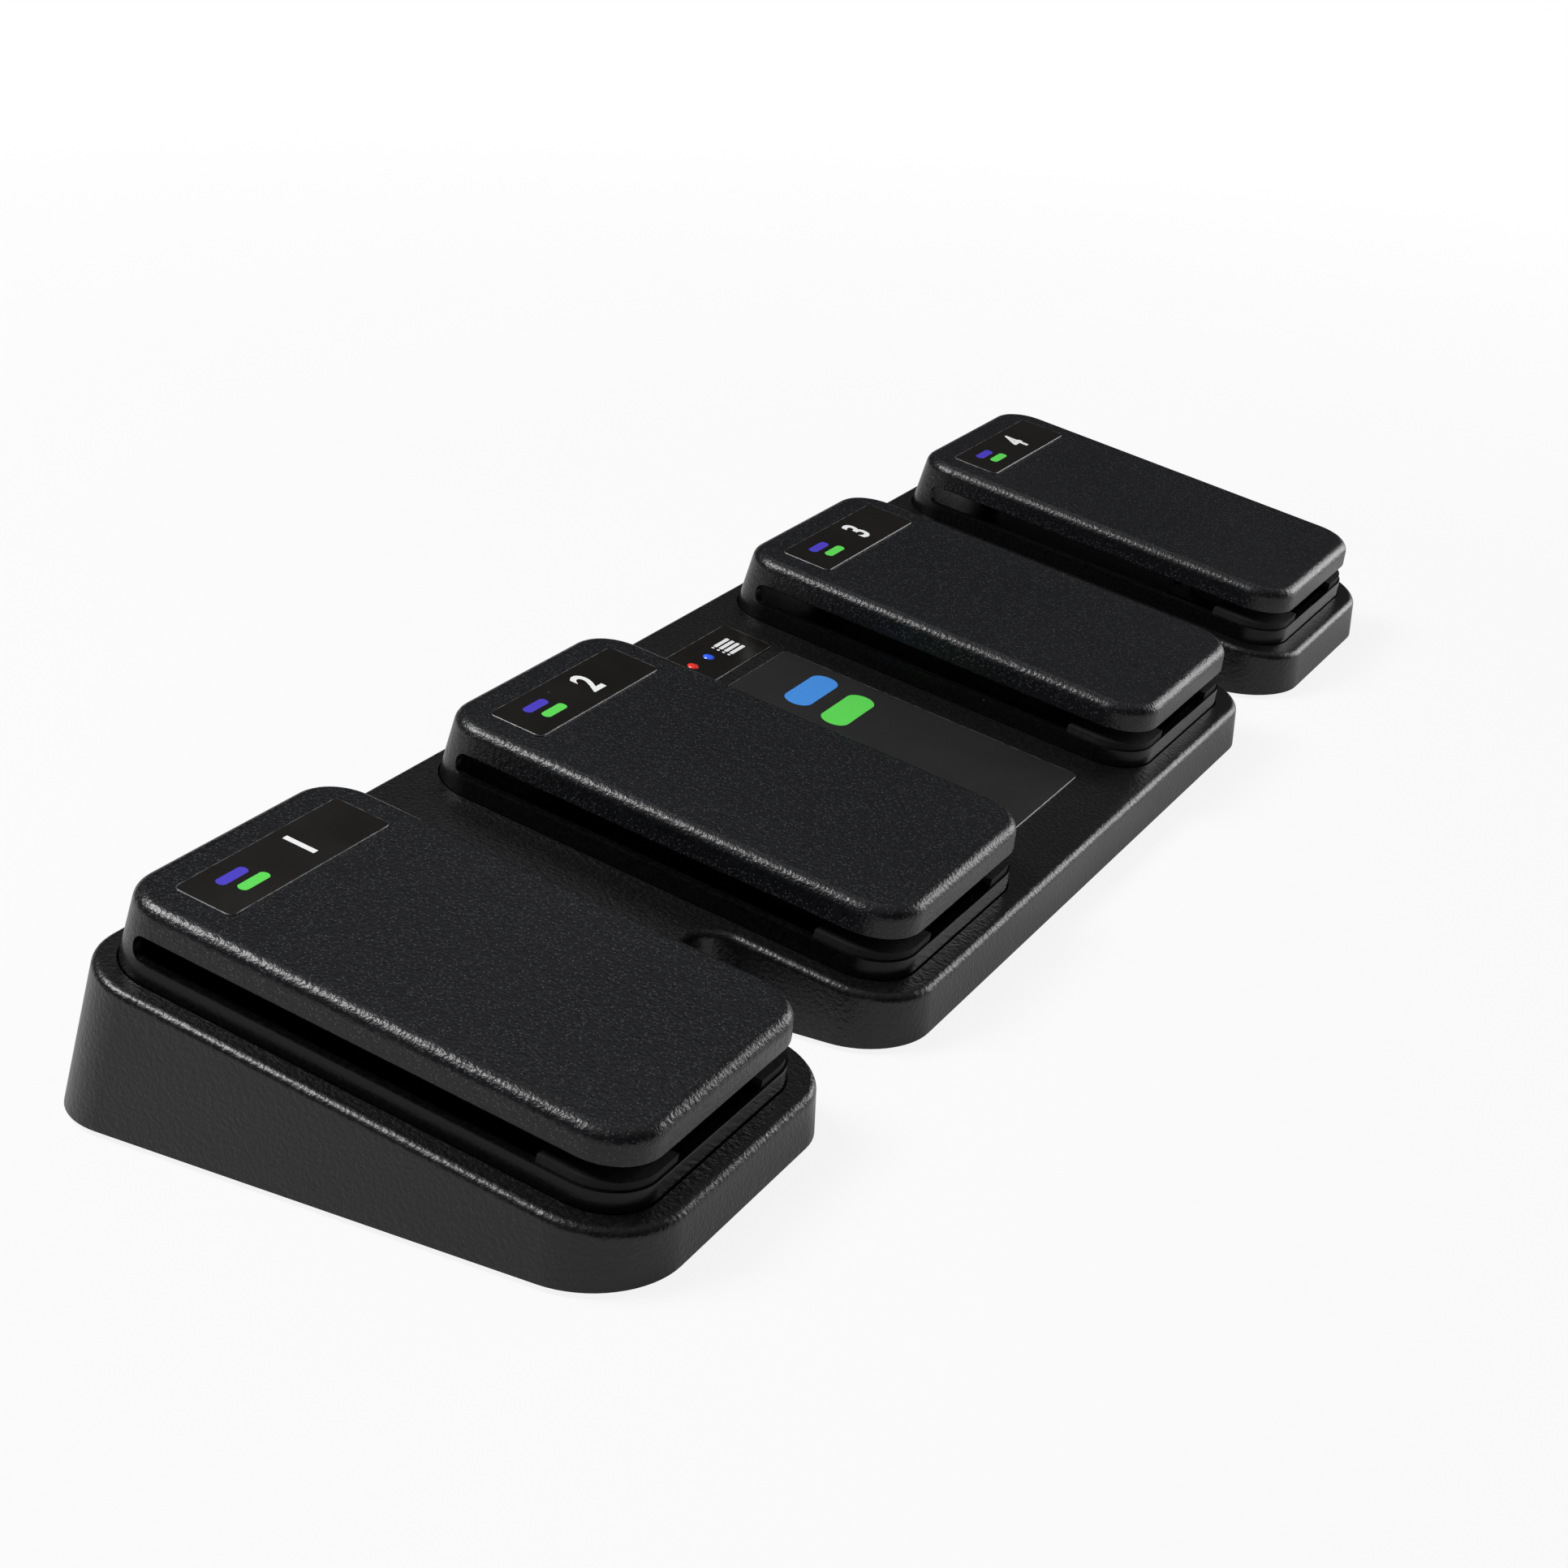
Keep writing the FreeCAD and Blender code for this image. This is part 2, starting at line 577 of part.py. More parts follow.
def pedal_label_centre():
    """Label centre along the slope, measured from the rear edge of the cap's top."""
    rear = PEDAL_END - PEDAL_TAPER * PEDAL_HEIGHT
    return rear - PEDAL_LABEL_MARGIN - PEDAL_LABEL_LENGTH / 2


def make_pedals():
    """All pieces of the four pedals, numbered from the player's left."""
    pieces = {
        "cap": make_cap(), "hinge": make_hinge(), "frame": make_frame(),
        "board": make_switch_board(), "dome": make_dome(), "corner_pads": make_corner_pads(),
        "label": make_label(PEDAL_LABEL_WIDTH, PEDAL_LABEL_LENGTH, (0, pedal_label_centre()),
                            PEDAL_HEIGHT)}
    for number, x in enumerate(PEDAL_XS, 1):
        for name, piece in pieces.items():
            save("pedal_%d_%s" % (number, name), tilted(piece, x))


def make_indicator_label():
    """Glossy label near the rear of the middle bay, with a window for each light."""
    label = make_label(INDICATOR_WIDTH, INDICATOR_LENGTH, (0, INDICATOR_V), 0.0)
    windows = []
    for x in (RED_LIGHT_X, BLUE_LIGHT_X):
        windows.append(rod(LIGHT_DIAMETER + 2 * LIGHT_GAP, LABEL_THICKNESS, V(x, LIGHTS_V, 0)))
    return tilted(label.cut(windows))


def make_centre_label():
    """Large satin label in front of the indicator label."""
    rear = INDICATOR_V - INDICATOR_LENGTH / 2 - CENTRE_LABEL_GAP
    front = CENTRE_LABEL_INSET - PEDAL_END
    return tilted(make_label(INDICATOR_WIDTH, rear - front, (0, (rear + front) / 2), 0.0))


def make_light(x):
    """Light pipe from a lamp on the board to the indicator label, with a collar."""
    low = light_pipe_foot()
    pipe = rod(LIGHT_DIAMETER, LABEL_THICKNESS - low, V(x, LIGHTS_V, low))
    collar_low = -DECK_THICKNESS - LIGHT_COLLAR_THICKNESS
    collar = rod(LIGHT_COLLAR, LIGHT_COLLAR_THICKNESS, V(x, LIGHTS_V, collar_low))
    return tilted(pipe.fuse(collar).removeSplitter())


def light_pipe_foot():
    """How far below the deck, square to it, a light pipe ends: just above its lamp."""
    lamp_top = MAIN_BOARD_TOP + LED_HEIGHT + LAMP_GAP
    return (lamp_top - DECK_Z - LIGHTS_V * math.sin(TILT)) / math.cos(TILT)


def make_lamp(x):
    """Small lamp on the main board under the foot of a light pipe."""
    y = DECK_Y + LIGHTS_V * math.cos(TILT) - light_pipe_foot() * math.sin(TILT)
    return block((LED_SIZE, LED_SIZE, LED_HEIGHT), (x, y), MAIN_BOARD_TOP)


def main_board_centre():
    return BASE_DEPTH / 2 - MAIN_BOARD_REAR_GAP - MAIN_BOARD_LENGTH / 2


def main_board_corners():
    """Standoff places under the main board."""
    half_x, half_y = MAIN_BOARD_WIDTH / 2 - STANDOFF_INSET, MAIN_BOARD_LENGTH / 2 - STANDOFF_INSET
    y = main_board_centre()
    return [(a * half_x, y + b * half_y) for a in (-1, 1) for b in (-1, 1)]


def make_main_board():
    board = block((MAIN_BOARD_WIDTH, MAIN_BOARD_LENGTH, BOARD_THICKNESS), (0, main_board_centre()),
                  MAIN_BOARD_BOTTOM)
    holes = []
    for x, y in main_board_corners():
        holes.append(rod(PEG_DIAMETER + 2 * PEG_GAP, BOARD_THICKNESS, V(x, y, MAIN_BOARD_BOTTOM)))
    # The pressed button's flange dips below the board's face, into this notch.
    notch_front = button_flange_rear() - BUTTON_FLANGE_THICKNESS - BUTTON_TRAVEL - 2 * SMALL_GAP
    board_rear = main_board_centre() + MAIN_BOARD_LENGTH / 2
    notch = block((BUTTON_FLANGE + 2 * SMALL_GAP, 2 * (board_rear - notch_front), BOARD_THICKNESS),
                  (BUTTON_X, board_rear), MAIN_BOARD_BOTTOM)
    return board.cut(holes + [notch])


def make_socket():
    """Charging socket: a rounded metal shell, open to the rear, round a tongue."""
    width, length, height = SOCKET_SIZE
    radius = round_end(height)
    mouth = rear_wall_y(MAIN_BOARD_TOP + height) - SOCKET_RECESS
    shell = prism(rectangle(width, height, radius), 0, length)
    bore = prism(rectangle(width, height, radius, inset=SOCKET_WALL), 0, SOCKET_MOUTH_DEPTH)
    shell = shell.cut(bore)
    tongue_width, tongue_length, tongue_height = SOCKET_TONGUE
    tongue = block((tongue_width, tongue_height, tongue_length + EMBED), (0, 0),
                   SOCKET_MOUTH_DEPTH - tongue_length)
    shell = shell.fuse(tongue).removeSplitter()
    shell.rotate(V(0, 0, 0), V(1, 0, 0), 90)
    shell.translate(V(SOCKET_X, mouth, MAIN_BOARD_TOP + height / 2))
    return shell


def make_power_switch():
    """Body of the slide switch, standing on the main board behind the rear wall."""
    width, length, height = SWITCH_BODY
    middle = SWITCH_X + SWITCH_TRAVEL / 2
    body = block(SWITCH_BODY, (middle, switch_face() - length / 2), MAIN_BOARD_TOP)
    groove = block((KNOB_WIDTH + SWITCH_TRAVEL + 2 * SMALL_GAP, length / 2, KNOB_HEIGHT + 2 * SMALL_GAP),
                   (middle, switch_face() - length / 4), CONTROL_Z - KNOB_HEIGHT / 2 - SMALL_GAP)
    return body.cut(groove)


def switch_face():
    """Front of the rear controls' bodies, just inside the rear wall."""
    return rear_wall_y(MAIN_BOARD_TOP + SWITCH_BODY[2]) - SHELL_WALL - SWITCH_SETBACK


def make_power_knob():
    """Sliding knob of the power switch, ribbed where a finger pushes it."""
    start = switch_face() - SWITCH_BODY[1] / 2 + SMALL_GAP
    end = rear_wall_y(CONTROL_Z) + KNOB_PROUD
    low = CONTROL_Z - KNOB_HEIGHT / 2
    knob = block((KNOB_WIDTH, end - start, KNOB_HEIGHT), (SWITCH_X, (start + end) / 2), low)
    grooves = []
    for step in (-1, 0, 1):
        x = SWITCH_X + step * KNOB_WIDTH / 4
        grooves.append(block((KNOB_GROOVE, 2 * KNOB_GROOVE_DEPTH, KNOB_HEIGHT), (x, end), low))
    return knob.cut(grooves)


def button_flange_rear():
    """Rear face of the button's flange, just clear of the leaning wall."""
    return rear_wall_y(CONTROL_Z + BUTTON_FLANGE / 2) - SHELL_WALL - SMALL_GAP


def make_mode_button():
    """Round push button with a flange that keeps it in the case."""
    out = rear_wall_y(CONTROL_Z) + BUTTON_PROUD
    flange_front = button_flange_rear() - BUTTON_FLANGE_THICKNESS
    start, rearwards = V(BUTTON_X, flange_front, CONTROL_Z), V(0, 1, 0)
    stem = rod(BUTTON_DIAMETER, out - flange_front, start, rearwards)
    end = [edge for edge in stem.Edges if edge.BoundBox.YMin > out - 0.001]
    stem = stem.makeFillet(BUTTON_EDGE_ROUND, end)
    flange = rod(BUTTON_FLANGE, BUTTON_FLANGE_THICKNESS, start, rearwards)
    return stem.fuse(flange).removeSplitter()


def make_button_switch():
    """Tactile switch that the mode button pushes."""
    width, length, height = BUTTON_SWITCH_SIZE
    face = button_flange_rear() - BUTTON_FLANGE_THICKNESS - BUTTON_TRAVEL - SMALL_GAP
    return block(BUTTON_SWITCH_SIZE, (BUTTON_X, face - length / 2), MAIN_BOARD_TOP)


def battery_y():
    """Middle of the battery, just behind the front screw bosses."""
    front = -BASE_DEPTH / 2 + FRONT_BOSS_SETBACK + BOSS_DIAMETER / 2 + BATTERY_GAP
    return front + BATTERY_SIZE[1] / 2


def make_battery():
    """Flat rechargeable cell with rounded long sides."""
    width, length, height = BATTERY_SIZE
    cell = block(BATTERY_SIZE, (0, battery_y()), PLATE_TOP + BATTERY_PAD)
    long_edges = [edge for edge in cell.Edges if abs(edge.Length - length) < 0.001]
    return cell.makeFillet((height - BATTERY_EDGE_FLAT) / 2, long_edges)


def make_battery_pad():
    """Foam tape that holds the battery on the plate."""
    width, length, height = BATTERY_SIZE
    size = (width - 2 * BATTERY_PAD_INSET, length - 2 * BATTERY_PAD_INSET, BATTERY_PAD)
    return block(size, (0, battery_y()), PLATE_TOP)


def make_radio_module():
    """Shielded radio on the front left corner of the main board."""
    width, length, height = RADIO_SIZE
    x = -MAIN_BOARD_WIDTH / 2 + RADIO_MARGIN + width / 2
    y = main_board_centre() - MAIN_BOARD_LENGTH / 2 + RADIO_MARGIN + length / 2
    return block(RADIO_SIZE, (x, y), MAIN_BOARD_TOP)


def make_ribbon(x, lane):
    """Ribbon of wires from a switch board, down and along the plate, to the main board."""
    side = 1 if x > 0 else -1
    half, thick = RIBBON_WIDTH / 2, RIBBON_THICKNESS
    top_v = ribbon_v()
    slot_n = -TRAY_DEPTH - TRAY_FLOOR / 2
    y = DECK_Y + top_v * math.cos(TILT) - slot_n * math.sin(TILT)
    tray_z = DECK_Z + top_v * math.sin(TILT) + BOARD_TOP * math.cos(TILT)
    low = PLATE_TOP + thick / 2
    edge_x = side * (MAIN_BOARD_WIDTH / 2 - RIBBON_WIDTH)
    lap = block((RIBBON_WIDTH, RIBBON_LAP, thick), (0, top_v + thick - RIBBON_LAP / 2), BOARD_TOP)
    drop = block((RIBBON_WIDTH, thick, tray_z + thick / 2 - low), (x, y), low)
    back_length = lane + half - y + thick / 2
    back = block((RIBBON_WIDTH, back_length, thick), (x, y - thick / 2 + back_length / 2), low)
    reach = abs(x - edge_x) + half
    along = block((reach, RIBBON_WIDTH, thick), (edge_x + side * reach / 2, lane), low)
    rise = block((thick, RIBBON_WIDTH, MAIN_BOARD_BOTTOM - low), (edge_x + side * thick / 2, lane), low)
    return tilted(lap, x).fuse([drop, back, along, rise]).removeSplitter()


def make_ribbons():
    """The four ribbons, each in its own lane along the plate, behind the front standoffs."""
    standoff = main_board_corners()[0][1] + STANDOFF_DIAMETER / 2
    near = standoff + RIBBON_GAP + RIBBON_WIDTH / 2
    far = near + RIBBON_WIDTH + RIBBON_GAP
    lanes = (far, near, near, far)
    return Part.makeCompound([make_ribbon(x, lane) for x, lane in zip(PEDAL_XS, lanes)])


def main():
    os.makedirs("parts", exist_ok=True)
    save("base_shell", make_base_shell())
    save("bottom_plate", make_bottom_plate())
    save("case_screws", make_screws())
    save("rubber_feet", Part.makeCompound([make_foot(x, y) for x, y in foot_places()]))
    make_pedals()
    save("indicator_label", make_indicator_label())
    save("centre_label", make_centre_label())
    save("red_light_pipe", make_light(RED_LIGHT_X))
    save("blue_light_pipe", make_light(BLUE_LIGHT_X))
    save("red_lamp", make_lamp(RED_LIGHT_X))
    save("blue_lamp", make_lamp(BLUE_LIGHT_X))
    save("main_board", make_main_board())
    save("radio_module", make_radio_module())
    save("battery", make_battery())
    save("battery_pad", make_battery_pad())
    save("charging_socket", make_socket())
    save("power_switch", make_power_switch())
    save("power_switch_knob", make_power_knob())
    save("mode_button", make_mode_button())
    save("mode_button_switch", make_button_switch())
    save("ribbon_wires", make_ribbons())


main()
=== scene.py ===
import json
import math

import bmesh
import bpy
from bpy.props import FloatProperty, FloatVectorProperty, PointerProperty
from mathutils import Matrix, Vector


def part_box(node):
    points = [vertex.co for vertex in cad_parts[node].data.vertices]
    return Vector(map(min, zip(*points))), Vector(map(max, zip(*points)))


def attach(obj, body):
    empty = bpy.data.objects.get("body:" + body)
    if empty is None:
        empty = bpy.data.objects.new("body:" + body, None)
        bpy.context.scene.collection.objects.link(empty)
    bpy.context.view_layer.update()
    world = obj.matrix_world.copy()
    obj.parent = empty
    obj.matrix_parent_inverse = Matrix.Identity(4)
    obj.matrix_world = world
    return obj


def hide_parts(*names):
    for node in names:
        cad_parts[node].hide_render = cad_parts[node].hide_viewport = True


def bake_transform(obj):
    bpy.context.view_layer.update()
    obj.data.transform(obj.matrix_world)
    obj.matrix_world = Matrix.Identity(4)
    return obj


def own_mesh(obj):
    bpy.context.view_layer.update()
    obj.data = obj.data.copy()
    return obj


bl_info = {
    "name": "Four-pedal foot switch",
    "version": (1, 0, 0),
    "blender": (4, 5, 0),
    "location": "View3D > Sidebar > Foot switch",
    "description": "Moulded shells, labels, controls and finishes of a wireless foot switch",
    "category": "Object",
}

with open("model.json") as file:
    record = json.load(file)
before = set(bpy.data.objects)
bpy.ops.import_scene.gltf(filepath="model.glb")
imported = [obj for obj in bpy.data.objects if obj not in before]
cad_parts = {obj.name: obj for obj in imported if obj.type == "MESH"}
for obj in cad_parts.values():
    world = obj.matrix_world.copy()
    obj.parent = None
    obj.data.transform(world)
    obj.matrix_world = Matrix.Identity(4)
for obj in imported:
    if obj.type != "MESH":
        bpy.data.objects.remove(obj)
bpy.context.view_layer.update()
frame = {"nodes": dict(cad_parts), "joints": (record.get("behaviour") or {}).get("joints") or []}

MM = 0.001
CASING_BODY = "casing"
PEDALS = (1, 2, 3, 4)

# Casing corners as they lie on the floor, and the middles of the pedals
CASING_LOW, CASING_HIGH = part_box("base_shell")
PEDAL_XS = [sum(corner.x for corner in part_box("pedal_%d_cap" % number)) / 2 for number in PEDALS]

# How finely round shapes are divided
CORNER_STEPS = 16
EDGE_STEPS = 6
LIP_STEPS = 2
ROUND_STEPS = 64
SHARP_ANGLE = math.radians(35)

# Cutters and inner walls reach this far past the face that they cut
REACH = 1.0 * MM

# Points nearer than this are one, in new meshes and in the loose triangles of a node
SAME_POINT = 0.0001 * MM
SAME_CORNER = 0.001 * MM

# Taken off half the width of a round opening, so that it keeps a short straight edge
NEARLY_ROUND = 0.01 * MM


def linear(code):
    """Linear colour of an sRGB hex code."""
    parts = [int(code[i:i + 2], 16) / 255 for i in (0, 2, 4)]
    shades = [c / 12.92 if c <= 0.04045 else ((c + 0.055) / 1.055) ** 2.4 for c in parts]
    return (*shades, 1.0)


def length(name, description, value):
    """A length property, given in millimetres."""
    return FloatProperty(name=name, description=description, default=value * MM, unit="LENGTH",
                         precision=5)


def angle(name, description, value):
    """An angle property, given in degrees."""
    return FloatProperty(name=name, description=description, default=math.radians(value),
                         unit="ROTATION")


def colour(name, description, code):
    """A colour property, given as an sRGB hex code."""
    return FloatVectorProperty(name=name, description=description, default=linear(code),
                               subtype="COLOR", size=4, min=0.0, max=1.0)


class CasingSizes(bpy.types.PropertyGroup):
    """Sizes of the wedge-shaped casing and its two notches."""

    tilt: angle("Deck tilt", "Slope of the deck towards the player", 10.1)
    side_draft: angle("Side draft", "Lean of the side walls", 2.5)
    rear_draft: angle("Rear draft", "Lean of the rear wall", 12.6)
    deck_depth: length("Deck depth", "From the front wall to the deck's rear edge", 121.1)
    front_height: length("Front height", "Height of the front wall", 10.5)
    front_corner: length("Front corner", "Radius of the two front corners", 18.0)
    rear_corner: length("Rear corner", "Radius of the two rear corners", 15.0)
    lobe_corner: length("Lobe corner", "Radius of the corners beside the notches", 15.0)
    notch_corner: length("Notch corner", "Radius at the inner end of a notch", 7.0)
    notch_width: length("Notch width", "Width of a notch at the floor", 24.5)
    notch_depth: length("Notch depth", "How far a notch runs back", 43.0)
    edge_round: length("Edge rounding", "Rounding between deck and walls", 1.65)
    wall: length("Wall", "Thickness of the walls and deck", 2.5)


class PedalSizes(bpy.types.PropertyGroup):
    """Sizes of one pedal, measured square to the deck."""

    width: length("Width", "Width where the pedal meets the deck", 69.0)
    front_margin: length("Front margin", "Deck left in front of a pedal", 5.1)
    rear_margin: length("Rear margin", "Deck left behind a pedal", 3.7)
    corner: length("Corner", "Radius of the corners at the deck", 12.0)
    taper: angle("Taper", "Lean of the pedal's walls", 5.5)
    height: length("Height", "Top of the pressed plate above the deck", 15.3)
    edge_round: length("Edge rounding", "Rounding round the pressed plate", 2.6)
    wall: length("Wall", "Thickness of the pedal's walls", 2.0)
    plate: length("Plate", "Thickness of the pressed plate", 2.5)
    rim_height: length("Rim height", "Top of the fixed rim above the deck", 4.1)
    slot_height: length("Slot height", "Height of the slot under the pressed plate", 4.9)
    hinge_band: length("Hinge band", "Wall left behind the slot as a hinge", 7.7)
    tray_depth: length("Tray depth", "Floor of the tray below the deck", 4.5)
    tray_floor: length("Tray floor", "Thickness of the tray's floor", 2.0)
    well_gap: length("Well gap", "Gap between tray and casing", 0.3)
    lip_round: length("Lip rounding", "Small rounding of the slot's edges", 0.3)
    pad_reach: length("Pad reach", "Length of a corner pad along each wall", 19.0)
    pad_width: length("Pad width", "Width of a corner pad", 7.0)


class LabelSizes(bpy.types.PropertyGroup):
    """Sizes of the stuck-on labels and of what is printed on them."""

    thickness: length("Thickness", "Thickness of the label film", 0.25)
    corner: length("Corner", "Radius of the labels' corners", 1.6)
    pedal_width: length("Pedal label width", "Width of a pedal's label", 50.0)
    pedal_length: length("Pedal label length", "Length of a pedal's label", 13.4)
    bay_width: length("Bay label width", "Width of the labels between the inner pedals", 44.8)
    ink: length("Ink", "Thickness of the printed ink", 0.02)
    number_height: length("Number height", "Height of a pedal's number", 7.0)
    number_x: length("Number place", "Middle of the number, from the label's middle", 5.0)
    bars_x: length("Bars place", "Middle of the coloured bars, from the label's middle", -13.0)


class Finishes(bpy.types.PropertyGroup):
    """Colours of the object's materials."""

    casing: colour("Casing", "Black of the casing and plate", "080808")
    pedal: colour("Pedal", "Black of the pedals", "0c0d0f")
    label: colour("Label", "Black of the glossy label film", "100f0c")
    bay_label: colour("Bay label", "Black of the satin label film", "10100f")
    white_ink: colour("White ink", "Printed white", "dfe0e0")
    blue_ink: colour("Blue ink", "Printed blue", "3f86d4")
    violet_ink: colour("Violet ink", "Printed blue of the pedals' labels", "4438b4")
    green_ink: colour("Green ink", "Printed green", "58cc50")
    red_light: colour("Red light", "Red light pipe", "d8302a")
    blue_light: colour("Blue light", "Blue light pipe", "2f5ce6")
    floor: colour("Floor", "Pale floor", "bcbcba")


GROUPS = {"casing_sizes": CasingSizes, "pedal_sizes": PedalSizes, "label_sizes": LabelSizes,
          "finishes": Finishes}


# Places on the sloped deck, where things are drawn flat in (x, along the slope, square to it)

def pedal_depth():
    """Distance from front to rear that a pedal takes up."""
    pedal = bpy.context.scene.pedal_sizes
    return bpy.context.scene.casing_sizes.deck_depth - (pedal.front_margin + pedal.rear_margin)


def pedal_length():
    """Length of a pedal along the slope."""
    return pedal_depth() / math.cos(bpy.context.scene.casing_sizes.tilt)


def on_deck(x=0.0, along=0.0, up=0.0):
    """Matrix from the flat drawing to a place on the deck, measured from the pedals' middle."""
    sizes = bpy.context.scene.casing_sizes
    back = bpy.context.scene.pedal_sizes.front_margin + pedal_depth() / 2
    rise = sizes.front_height + math.tan(sizes.tilt) * back
    middle = Matrix.Translation((x, CASING_LOW.y + back, CASING_LOW.z + rise))
    return middle @ Matrix.Rotation(sizes.tilt, 4, "X") @ Matrix.Translation((0, along, up))


def deck_spot(node):
    """How far up the slope the middle of a node lies."""
    low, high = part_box(node)
    return (on_deck().inverted() @ ((low + high) / 2)).y


def slot_bottom_and_top():
    sizes = bpy.context.scene.pedal_sizes
    return sizes.rim_height, sizes.rim_height + sizes.slot_height


def slot_end():
    """Where the straight part of the slot ends, and the radius of its round end."""
    sizes = bpy.context.scene.pedal_sizes
    radius = sizes.slot_height / 2
    return pedal_length() / 2 - sizes.hinge_band - radius, radius


# Mesh shapes

def rectangle(width, depth, radius, inset=0.0, middle=(0.0, 0.0)):
    """Corners of a rounded rectangle, as (x, y, radius), drawn in by inset."""
    x, y = width / 2 - inset, depth / 2 - inset
    signs = ((-1, -1), (1, -1), (1, 1), (-1, 1))
    return [(middle[0] + a * x, middle[1] + b * y, radius - inset) for a, b in signs]


def pedal_outline(inset):
    """Corners of a pedal's outline at the deck, drawn in by inset."""
    sizes = bpy.context.scene.pedal_sizes
    return rectangle(sizes.width, pedal_length(), sizes.corner, inset)


def pedal_draft(height):
    """How far a pedal's wall leans in at a height above the deck."""
    return math.tan(bpy.context.scene.pedal_sizes.taper) * height


def rounded_plate(bm, corners, height=0.0):
    """Flat face with round corners, facing up."""
    verts = [bm.verts.new((x, y, height)) for x, y, radius in corners]
    face = bm.faces.new(verts)
    for radius in sorted({corner[2] for corner in corners}):
        same = [vert for vert, corner in zip(verts, corners) if corner[2] == radius]
        made = bmesh.ops.bevel(bm, geom=same, offset=radius, offset_type="OFFSET",
                               segments=CORNER_STEPS, profile=0.5, affect="VERTICES", material=-1)
        face = made["verts"][0].link_faces[0]
    return face


def lift(bm, face, rise, inset=0.0):
    """Raise a face on new walls that lean in by inset."""
    bmesh.ops.inset_region(bm, faces=[face], thickness=inset, depth=rise, use_boundary=True,
                           use_even_offset=True)
    return face


def close(bm):
    """Close what is open with flat faces, turn all faces outwards and return the new ones."""
    rims = [edge for edge in bm.edges if edge.is_boundary]
    made = bmesh.ops.holes_fill(bm, edges=rims, sides=0)["faces"]
    bmesh.ops.recalc_face_normals(bm, faces=bm.faces[:])
    return made


def round_edges(bm, edges, size, steps=EDGE_STEPS):
    """Round the given edges."""
    bmesh.ops.bevel(bm, geom=list(edges), offset=size, offset_type="OFFSET", segments=steps,
                    profile=0.5, affect="EDGES", material=-1)


def clear_past(bm, point, normal):
    """Cut with a plane, clear what lies on the side of its normal and close the cut."""
    everything = bm.verts[:] + bm.edges[:] + bm.faces[:]
    bmesh.ops.bisect_plane(bm, geom=everything, plane_co=point, plane_no=normal, clear_outer=True)
    return close(bm)


def place(bm, matrix):
    bmesh.ops.transform(bm, matrix=matrix, verts=bm.verts[:])
    return bm


def rod(bm, radius, low, high, matrix=Matrix.Identity(4)):
    """Closed cylinder between two heights, moved by a matrix."""
    middle = matrix @ Matrix.Translation((0, 0, (low + high) / 2))
    bmesh.ops.create_cone(bm, cap_ends=True, radius1=radius, radius2=radius, depth=high - low,
                          segments=ROUND_STEPS, matrix=middle)


def block(bm, size, middle):
    """Closed box of a size, round a middle point."""
    matrix = Matrix.Translation(middle) @ Matrix.Diagonal((*size, 1.0))
    bmesh.ops.create_cube(bm, size=1.0, matrix=matrix)


def prism(bm, corners, low, high, matrix=Matrix.Identity(4)):
    """Closed straight solid over rounded corners, moved by a matrix."""
    part = bmesh.new()
    lift(part, rounded_plate(part, corners, low), high - low)
    close(part)
    add_mesh(bm, place(part, matrix))


def add_mesh(bm, part):
    """Move a finished mesh into another one."""
    mesh = bpy.data.meshes.new("part")
    part.to_mesh(mesh)
    part.free()
    bm.from_mesh(mesh)
    bpy.data.meshes.remove(mesh)


def loose_object(name, bm):
    """Object made of a mesh."""
    mesh = bpy.data.meshes.new(name)
    bm.to_mesh(mesh)
    bm.free()
    thing = bpy.data.objects.new(name, mesh)
    bpy.context.scene.collection.objects.link(thing)
    return thing


def combine(bm, other, operation="DIFFERENCE"):
    """Closed mesh left when another one is taken away from it or joined to it."""
    body = loose_object("body", bm)
    tool = loose_object("tool", other)
    step = body.modifiers.new("Combine", "BOOLEAN")
    step.operation = operation
    step.solver = "EXACT"
    step.object = tool
    result = bmesh.new()
    result.from_object(body, bpy.context.evaluated_depsgraph_get())
    for thing in (body, tool):
        mesh = thing.data
        bpy.data.objects.remove(thing)
        bpy.data.meshes.remove(mesh)
    bmesh.ops.remove_doubles(result, verts=result.verts[:], dist=SAME_POINT)
    return result


def pedal_body(inset, low, high):
    """Solid with a pedal's leaning walls between two heights, drawn in by inset."""
    bm = bmesh.new()
    face = rounded_plate(bm, pedal_outline(inset + pedal_draft(low)), low)
    lift(bm, face, high - low, pedal_draft(high - low))
    close(bm)
    return bm


def lowest_and_highest(bm):
    """Lowest and highest face of a mesh."""
    faces = sorted(bm.faces, key=lambda face: face.calc_center_median().z)
    return faces[0], faces[-1]


def in_front_of_hinge(edges):
    """The edges of an outline that lie in front of the slot's round end."""
    return [edge for edge in edges if all(v.co.y < slot_end()[0] for v in edge.verts)]


def show(bm, name, finishes, body=None, stands_for=None):
    """Finished object of a mesh, smoothed but for its sharp edges, that rides on a body."""
    piece = loose_object(name, bm)
    for finish in finishes:
        piece.data.materials.append(material(finish))
    piece.data.shade_smooth()
    piece.data.set_sharp_from_angle(angle=SHARP_ANGLE)
    # Flat faces stay flat beside rounded edges
    piece.modifiers.new("Even shading", "WEIGHTED_NORMAL").keep_sharp = True
    if stands_for:
        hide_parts(stands_for)
    if body:
        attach(piece, body)
    return piece


# Materials

# Most of a noise pattern lies between these values
NOISE = (0.3, 0.7)

